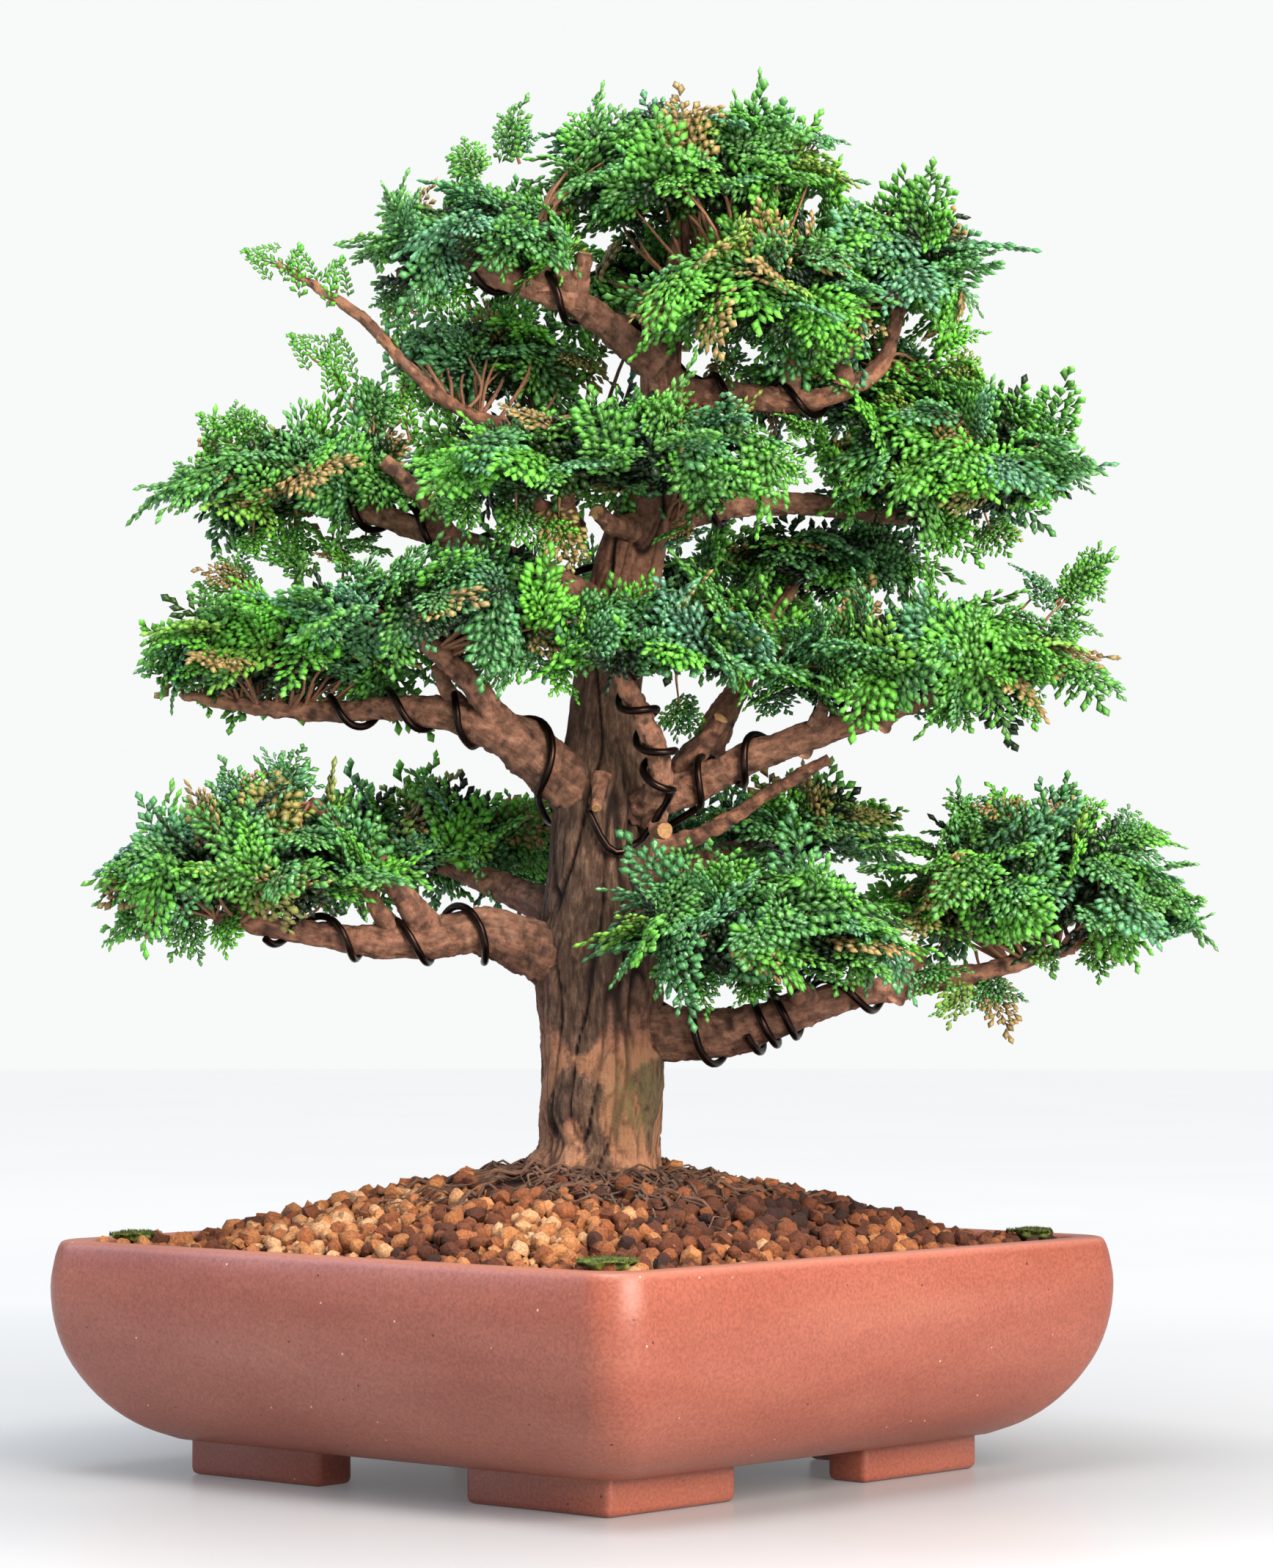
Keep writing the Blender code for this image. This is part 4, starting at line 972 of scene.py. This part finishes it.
# Living scale leaves: waxy and half glossy. Each spray and each lobe is dark at its base and bright at
# its tip: partly brighter new growth, partly painted shade deep in the pad. Pale dots of wax, partly
# painted highlights, gather on bluer sprays and towards the tips. The shade says how blue, green or
# yellow the whole spray is.
shade = attribute(shader, "shade")
growth_and_painted_light = span(attribute(shader, "tip"), 0.15, 0.95)
base_tone = ramp(shade, (0.0, "0C2018"), (0.35, "112812"), (0.6, "17330E"), (0.85, "264A10"),
                 (1.0, "4A3418"))
tip_tone = ramp(shade, (0.0, "5C9E7C"), (0.25, "529C5A"), (0.5, "579F3A"), (0.85, "70D43C"),
                (1.0, "A08A52"))
# Pale wax dots, partly painted highlights: strongest on bluer sprays and towards the tips
wax = cloud(place, 0.0013, 3.0, 0.6)
dot_strength = maths("MULTIPLY", span(shade, 0.05, 0.8, 0.85, 0.4), growth_and_painted_light)
wax_and_highlight_dots = maths("MULTIPLY", span(wax, 0.56, 0.66), dot_strength)
leaf_colour = blend(wax_and_highlight_dots, blend(growth_and_painted_light, base_tone, tip_tone), "BFE0C0")
feed(shader, Base_Color=leaf_colour, Normal=bump(wax, 0.5, 0.0005))

PAD_LOW_SHARE = 0.62
TUFT_AREA, TUFT_INSET, LOW_END = 420.0, 11.0, 1.72
# Turn, backward shift in millimetres and size of each spray in a tuft
TUFT = ((-0.95, 5.0, 0.85), (0.05, 9.0, 1.15), (0.9, 5.0, 0.9))
# Shares of browned sprays, of bright tufts, of upright tufts on top, and of tufts backed by a dark
# spray of painted shade
BROWNED, BRIGHT, UPRIGHT, BACKED = 0.03, 0.13, 0.4, 0.7
NEAREST_PLACES = 60
stems_grown = [stem for stems in BRANCHES.values() for stem in stems]
branch_places = [place for stem in stems_grown for place in stem_route(stem, 5)[4:]]


def pad_places(middle, half, count, chance):
    """Places just inside a pad's outside with their outward directions: even, few right underneath."""
    golden = math.pi * (3 - math.sqrt(5))
    for index in range(count):
        level = 1 - LOW_END * (index + 0.5) / count
        round_level = math.sqrt(1 - level * level)
        angle = index * golden + chance.uniform(-0.25, 0.25)
        out = Vector((round_level * math.cos(angle), round_level * math.sin(angle), level))
        low = PAD_LOW_SHARE if level < 0 else 1
        sizes = [max(size - TUFT_INSET, 5) for size in (half[0], half[1], half[2] * low + 2)]
        reach = 1 + 0.22 * noise.noise(out * 2.1 + Vector(middle) * 0.05) + chance.uniform(-0.14, 0.08)
        lift = half[2] * (1 - PAD_LOW_SHARE) / 2
        spot = on_tree(middle[0] + out.x * sizes[0] * reach, middle[1] + out.y * sizes[1] * reach,
                       middle[2] - lift + out.z * sizes[2] * reach)
        away = on_tree(out.x / half[0], out.y / half[1], out.z / (half[2] * low)).normalized()
        yield spot, away


def jitter(chance, size):
    return Vector([chance.gauss(0, size) for _ in range(3)])


def add_fan(leaves, start, aim, face, size, keep, hue, chance, slim=False):
    """Puts a random spray in a foliage mesh and notes its number, how far its tips are lightened
    (little for a dark spray of painted shade) and shade.
    """
    aim = aim.normalized()
    face = (face - face.dot(aim) * aim).normalized()
    turn = Matrix((aim, face.cross(aim), face)).transposed()
    pick = SLIM if slim else chance.randrange(SLIM)
    copy_in(leaves["shape"], fans[pick][0], placed(start, turn, [size * MM] * 3))
    leaves["fans"].append((pick, keep, min(1, max(0, hue))))


def add_tuft(leaves, spot, away, facing, hue, chance, tuft=TUFT):
    """A few sprays spread like a hand in the plane that faces a direction."""
    up = Vector((0, 0, 1))
    face = (facing + jitter(chance, 0.2)).normalized()
    forward = away + 0.25 * up + jitter(chance, 0.35)
    forward = (forward - forward.dot(face) * face).normalized()
    for turn, back, size in tuft:
        aim = Matrix.Rotation(turn + chance.uniform(-0.25, 0.25), 3, face) @ forward + jitter(chance, 0.1)
        start = spot - aim * back * MM + face * chance.uniform(-2.5, 2.5) * MM
        own_hue = 1.0 if chance.random() < BROWNED else chance.gauss(hue, 0.13)
        plane = face + jitter(chance, 0.24)
        add_fan(leaves, start, aim, plane, size * chance.uniform(0.88, 1.15), 1.0, own_hue, chance)


def add_twig(twigs, root, spot, chance):
    length = (spot - root).length
    sway = (jitter(chance, 0.08) + Vector((0, 0, 0.05))) * length
    route = smooth_route([root, root + (spot - root) * 0.45 + sway, spot], 4)
    thick = [(0.55 + 6 * length) * (1 - 0.62 * index / len(route)) * MM for index in range(len(route))]
    route = [Vector((*place, radius)) for place, radius in zip(route, thick)]
    grow_stem(twigs, route, 5, young=0.9)


def finish_foliage(pad, leaves, twigs, *nodes):
    foliage = add_piece("sprays_" + pad, leaves["shape"], scale_leaf, "foliage", *nodes, sharp=0)
    mark(foliage, "tip", np.concatenate([fans[pick][1] * keep for pick, keep, _ in leaves["fans"]]))
    counts = [len(fans[pick][0].vertices) for pick, _, _ in leaves["fans"]]
    mark(foliage, "shade", np.repeat([hue for _, _, hue in leaves["fans"]], counts))
    add_wood("twigs_" + pad, twigs, bark, "bark")


for index, (pad, (middle, half)) in enumerate(PADS.items()):
    chance = random.Random(100 + index)
    leaves = {"shape": bmesh.new(), "fans": []}
    twigs = new_wood()
    heart = on_tree(*middle)
    # An ellipsoid's surface, nearly
    a, b, c = half
    surface = 4 * math.pi * (((a * b)**1.6 + (a * c)**1.6 + (b * c)**1.6) / 3) ** (1 / 1.6)
    near = sorted(branch_places, key=lambda place: (place.xyz - heart).length)[:NEAREST_PLACES]
    for spot, away in pad_places(middle, half, round(surface / TUFT_AREA), chance):
        inside = heart.lerp(spot, 0.35)
        root = min(near, key=lambda place: (place.xyz - inside).length).xyz
        add_twig(twigs, root, spot, chance)
        hue = chance.gauss(0.48, 0.15) + 0.3 * noise.noise(spot * 22 + Vector((4, 0, 0)))
        hue = chance.choices((hue, 0.84), (1 - BRIGHT, BRIGHT))[0]
        lean = chance.choice((0.2, 0.4, 0.6, 0.9))
        facing = Vector((0, 0, 1 - lean)) + lean * away
        if away.z > 0.6 and chance.random() < UPRIGHT:
            facing = Vector((chance.gauss(0, 1), chance.gauss(0, 1), 0.2)).normalized()
        add_tuft(leaves, spot, away, facing, hue, chance)
        if chance.random() < 1 - BACKED:
            continue
        # Painted shade: a spray behind most tufts, coloured at its darkest, darkens the pad's inside
        behind = heart.lerp(spot, chance.uniform(0.5, 0.75))
        aim = away.orthogonal() + jitter(chance, 0.8)
        start = behind - aim.normalized() * TUFT_INSET * MM
        add_fan(leaves, start, aim, away + jitter(chance, 0.2), 1.25, 0.15, hue, chance)
    finish_foliage(pad, leaves, twigs, "foliage_" + pad)

# Single shoots between the pads, with a tuft at each tip or only slim rows of lobes. Each row is the
# root and the tip (u, v, z).
TUFTED = (
    (138, -10, 274, 148, -10, 287), (148, -10, 272, 160, -10, 287), (-108, -34, 208, -110, -34, 220),
    (-93, -34, 210, -95, -34, 222), (-74, 0, 336, -70, 0, 347), (-108, 2, 334, -114, 2, 344),
    (146, -10, 268, 157, -12, 275), (140, 0, 204, 141, 0, 215), (158, 0, 202, 160, 0, 213),
    (175, 0, 198, 177, 0, 209), (122, 0, 205, 124, 0, 214), (-36, 0, 420, -38, 0, 429),
    (-22, 0, 430, -24, 0, 438), (72, 0, 430, 77, 0, 438), (100, 4, 412, 105, 4, 420),
    (112, 6, 362, 121, 6, 371), (66, -6, 350, 70, -8, 340), (46, 10, 374, 46, 10, 364),
    (-62, -4, 394, -64, -4, 385), (-48, -4, 396, -48, -6, 386), (-108, 2, 316, -110, 2, 306),
    (-96, 2, 316, -96, 2, 304), (-72, 2, 318, -73, 2, 304), (-38, -36, 324, -39, -38, 313),
    (-22, -38, 320, -22, -38, 308), (-8, -38, 318, -8, -38, 305), (32, -20, 316, 32, -22, 304),
    (115, 0, 320, 118, -4, 309), (130, 0, 318, 133, -4, 308), (-25, -34, 272, -26, -34, 262),
    (-10, -30, 270, -9, -30, 259), (30, 12, 262, 31, 12, 250), (60, 8, 262, 62, 8, 253),
    (95, -10, 260, 97, -12, 250), (115, -10, 260, 118, -12, 250), (-140, -34, 188, -144, -34, 179),
    (-126, -36, 188, -128, -36, 178), (-112, -38, 186, -114, -38, 177), (36, -44, 170, 36, -46, 160),
    (52, -44, 170, 53, -48, 159), (165, 0, 180, 168, -2, 170), (108, -10, 172, 112, -14, 160),
    (128, 0, 170, 133, -4, 157), (-84, 2, 316, -84, 2, 303), (-110, -4, 284, -112, -4, 292),
    (-96, -4, 288, -96, -4, 296), (-80, -6, 290, -80, -6, 298), (118, 10, 352, 125, 8, 361),
    (152, -10, 282, 163, -10, 291), (180, 0, 198, 183, 0, 208), (116, -8, 166, 120, -10, 154),
)
SLIM_SHOOTS = (
    (-100, -12, 394, -112, -12, 398), (-94, -12, 391, -94, -14, 400), (-84, -11, 384, -80, -14, 396),
    (-74, 0, 345, -86, 0, 366), (-86, 0, 364, -98, 0, 372), (-83, 0, 360, -82, 0, 374),
    (-68, 2, 344, -74, 2, 358), (-105, -4, 285, -128, -4, 289), (142, -10, 258, 147, -10, 243),
    (148, -5, 174, 153, -5, 162), (-58, 0, 340, -58, 0, 356), (-118, 2, 338, -128, 2, 346),
)
chance = random.Random(77)
leaves = {"shape": bmesh.new(), "fans": []}
twigs = new_wood()
for places in TUFTED:
    root, spot = on_tree(*places[:3]), on_tree(*places[3:])
    away = (spot - root).normalized()
    add_twig(twigs, root, spot, chance)
    facing = on_tree(0, -1000, 700).normalized() + jitter(chance, 0.4)
    add_tuft(leaves, spot, away, facing, chance.gauss(0.55, 0.15), chance,
             [(turn, back, 0.72 * size) for turn, back, size in TUFT])
for places in SLIM_SHOOTS:
    root, spot = on_tree(*places[:3]), on_tree(*places[3:])
    aim = spot - root
    add_twig(twigs, root - 2 * MM * aim.normalized(), spot - 6 * MM * aim.normalized(), chance)
    for lean, size in ((-0.5, 0.6), (0.0, 0.8), (0.45, 0.6)):
        swung = Matrix.Rotation(lean, 3, on_tree(0, 1000, 0)) @ aim.normalized()
        add_fan(leaves, spot - 21 * size * MM * swung, swung, on_tree(0, -1000, 600), size, 1.0,
                chance.gauss(0.7, 0.1), chance, slim=True)
finish_foliage("outlying", leaves, twigs)

# ---------------------------------------------------------------------------------------------
# Moss: three small cushions that have seeded themselves in the corners of the pot. Each is a soft
# mound set with short upright leaflets.

moss_green, shader, place = new_finish("cushion_moss", 0.9)
feed(shader, Base_Color=ramp(cloud(place, 0.0018, 5.0), (0.3, "26300F"), (0.5, "4C5A1E"), (0.7, "7E8C38")))
LEAFLETS, MOSS_SINK = 420, 1.5
for name in ("moss_front", "moss_left", "moss_right"):
    low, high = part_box(name)
    middle, half = (low + high) / 2 - Vector((0, 0, MOSS_SINK * MM)), (high - low) / 2
    chance = random.Random(len(name))
    shape = bmesh.new()
    bmesh.ops.create_icosphere(shape, subdivisions=4, radius=1)
    for vert in shape.verts:
        vert.co *= 1 + 0.5 * noise.noise(vert.co * 1.6 + middle * 60)
        vert.co = Vector((vert.co.x * half.x, vert.co.y * half.y, vert.co.z * half.z * 0.6)) + middle
    ground = soil_height(middle.x / MM, middle.y / MM) * MM
    for vert in shape.verts:
        if vert.co.z < middle.z:
            vert.co.z = middle.z + (vert.co.z - middle.z) * (middle.z - ground) / half.z
    crown = [vert.co.copy() for vert in shape.verts if vert.co.z > middle.z]
    for _ in range(LEAFLETS):
        spot = chance.choice(crown)
        lean = Matrix.Rotation(chance.gauss(0, 0.4), 3, "X") @ Matrix.Rotation(chance.gauss(0, 0.4), 3, "Y")
        place = placed(spot, lean, [MM] * 3)
        bmesh.ops.create_cone(shape, cap_ends=True, segments=3, radius1=0.3, radius2=0.02,
                              depth=chance.uniform(0.8, 1.8), matrix=place)
    add_piece(name.replace("moss", "cushion"), shape, moss_green, "moss", name, sharp=0)

low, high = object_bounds()
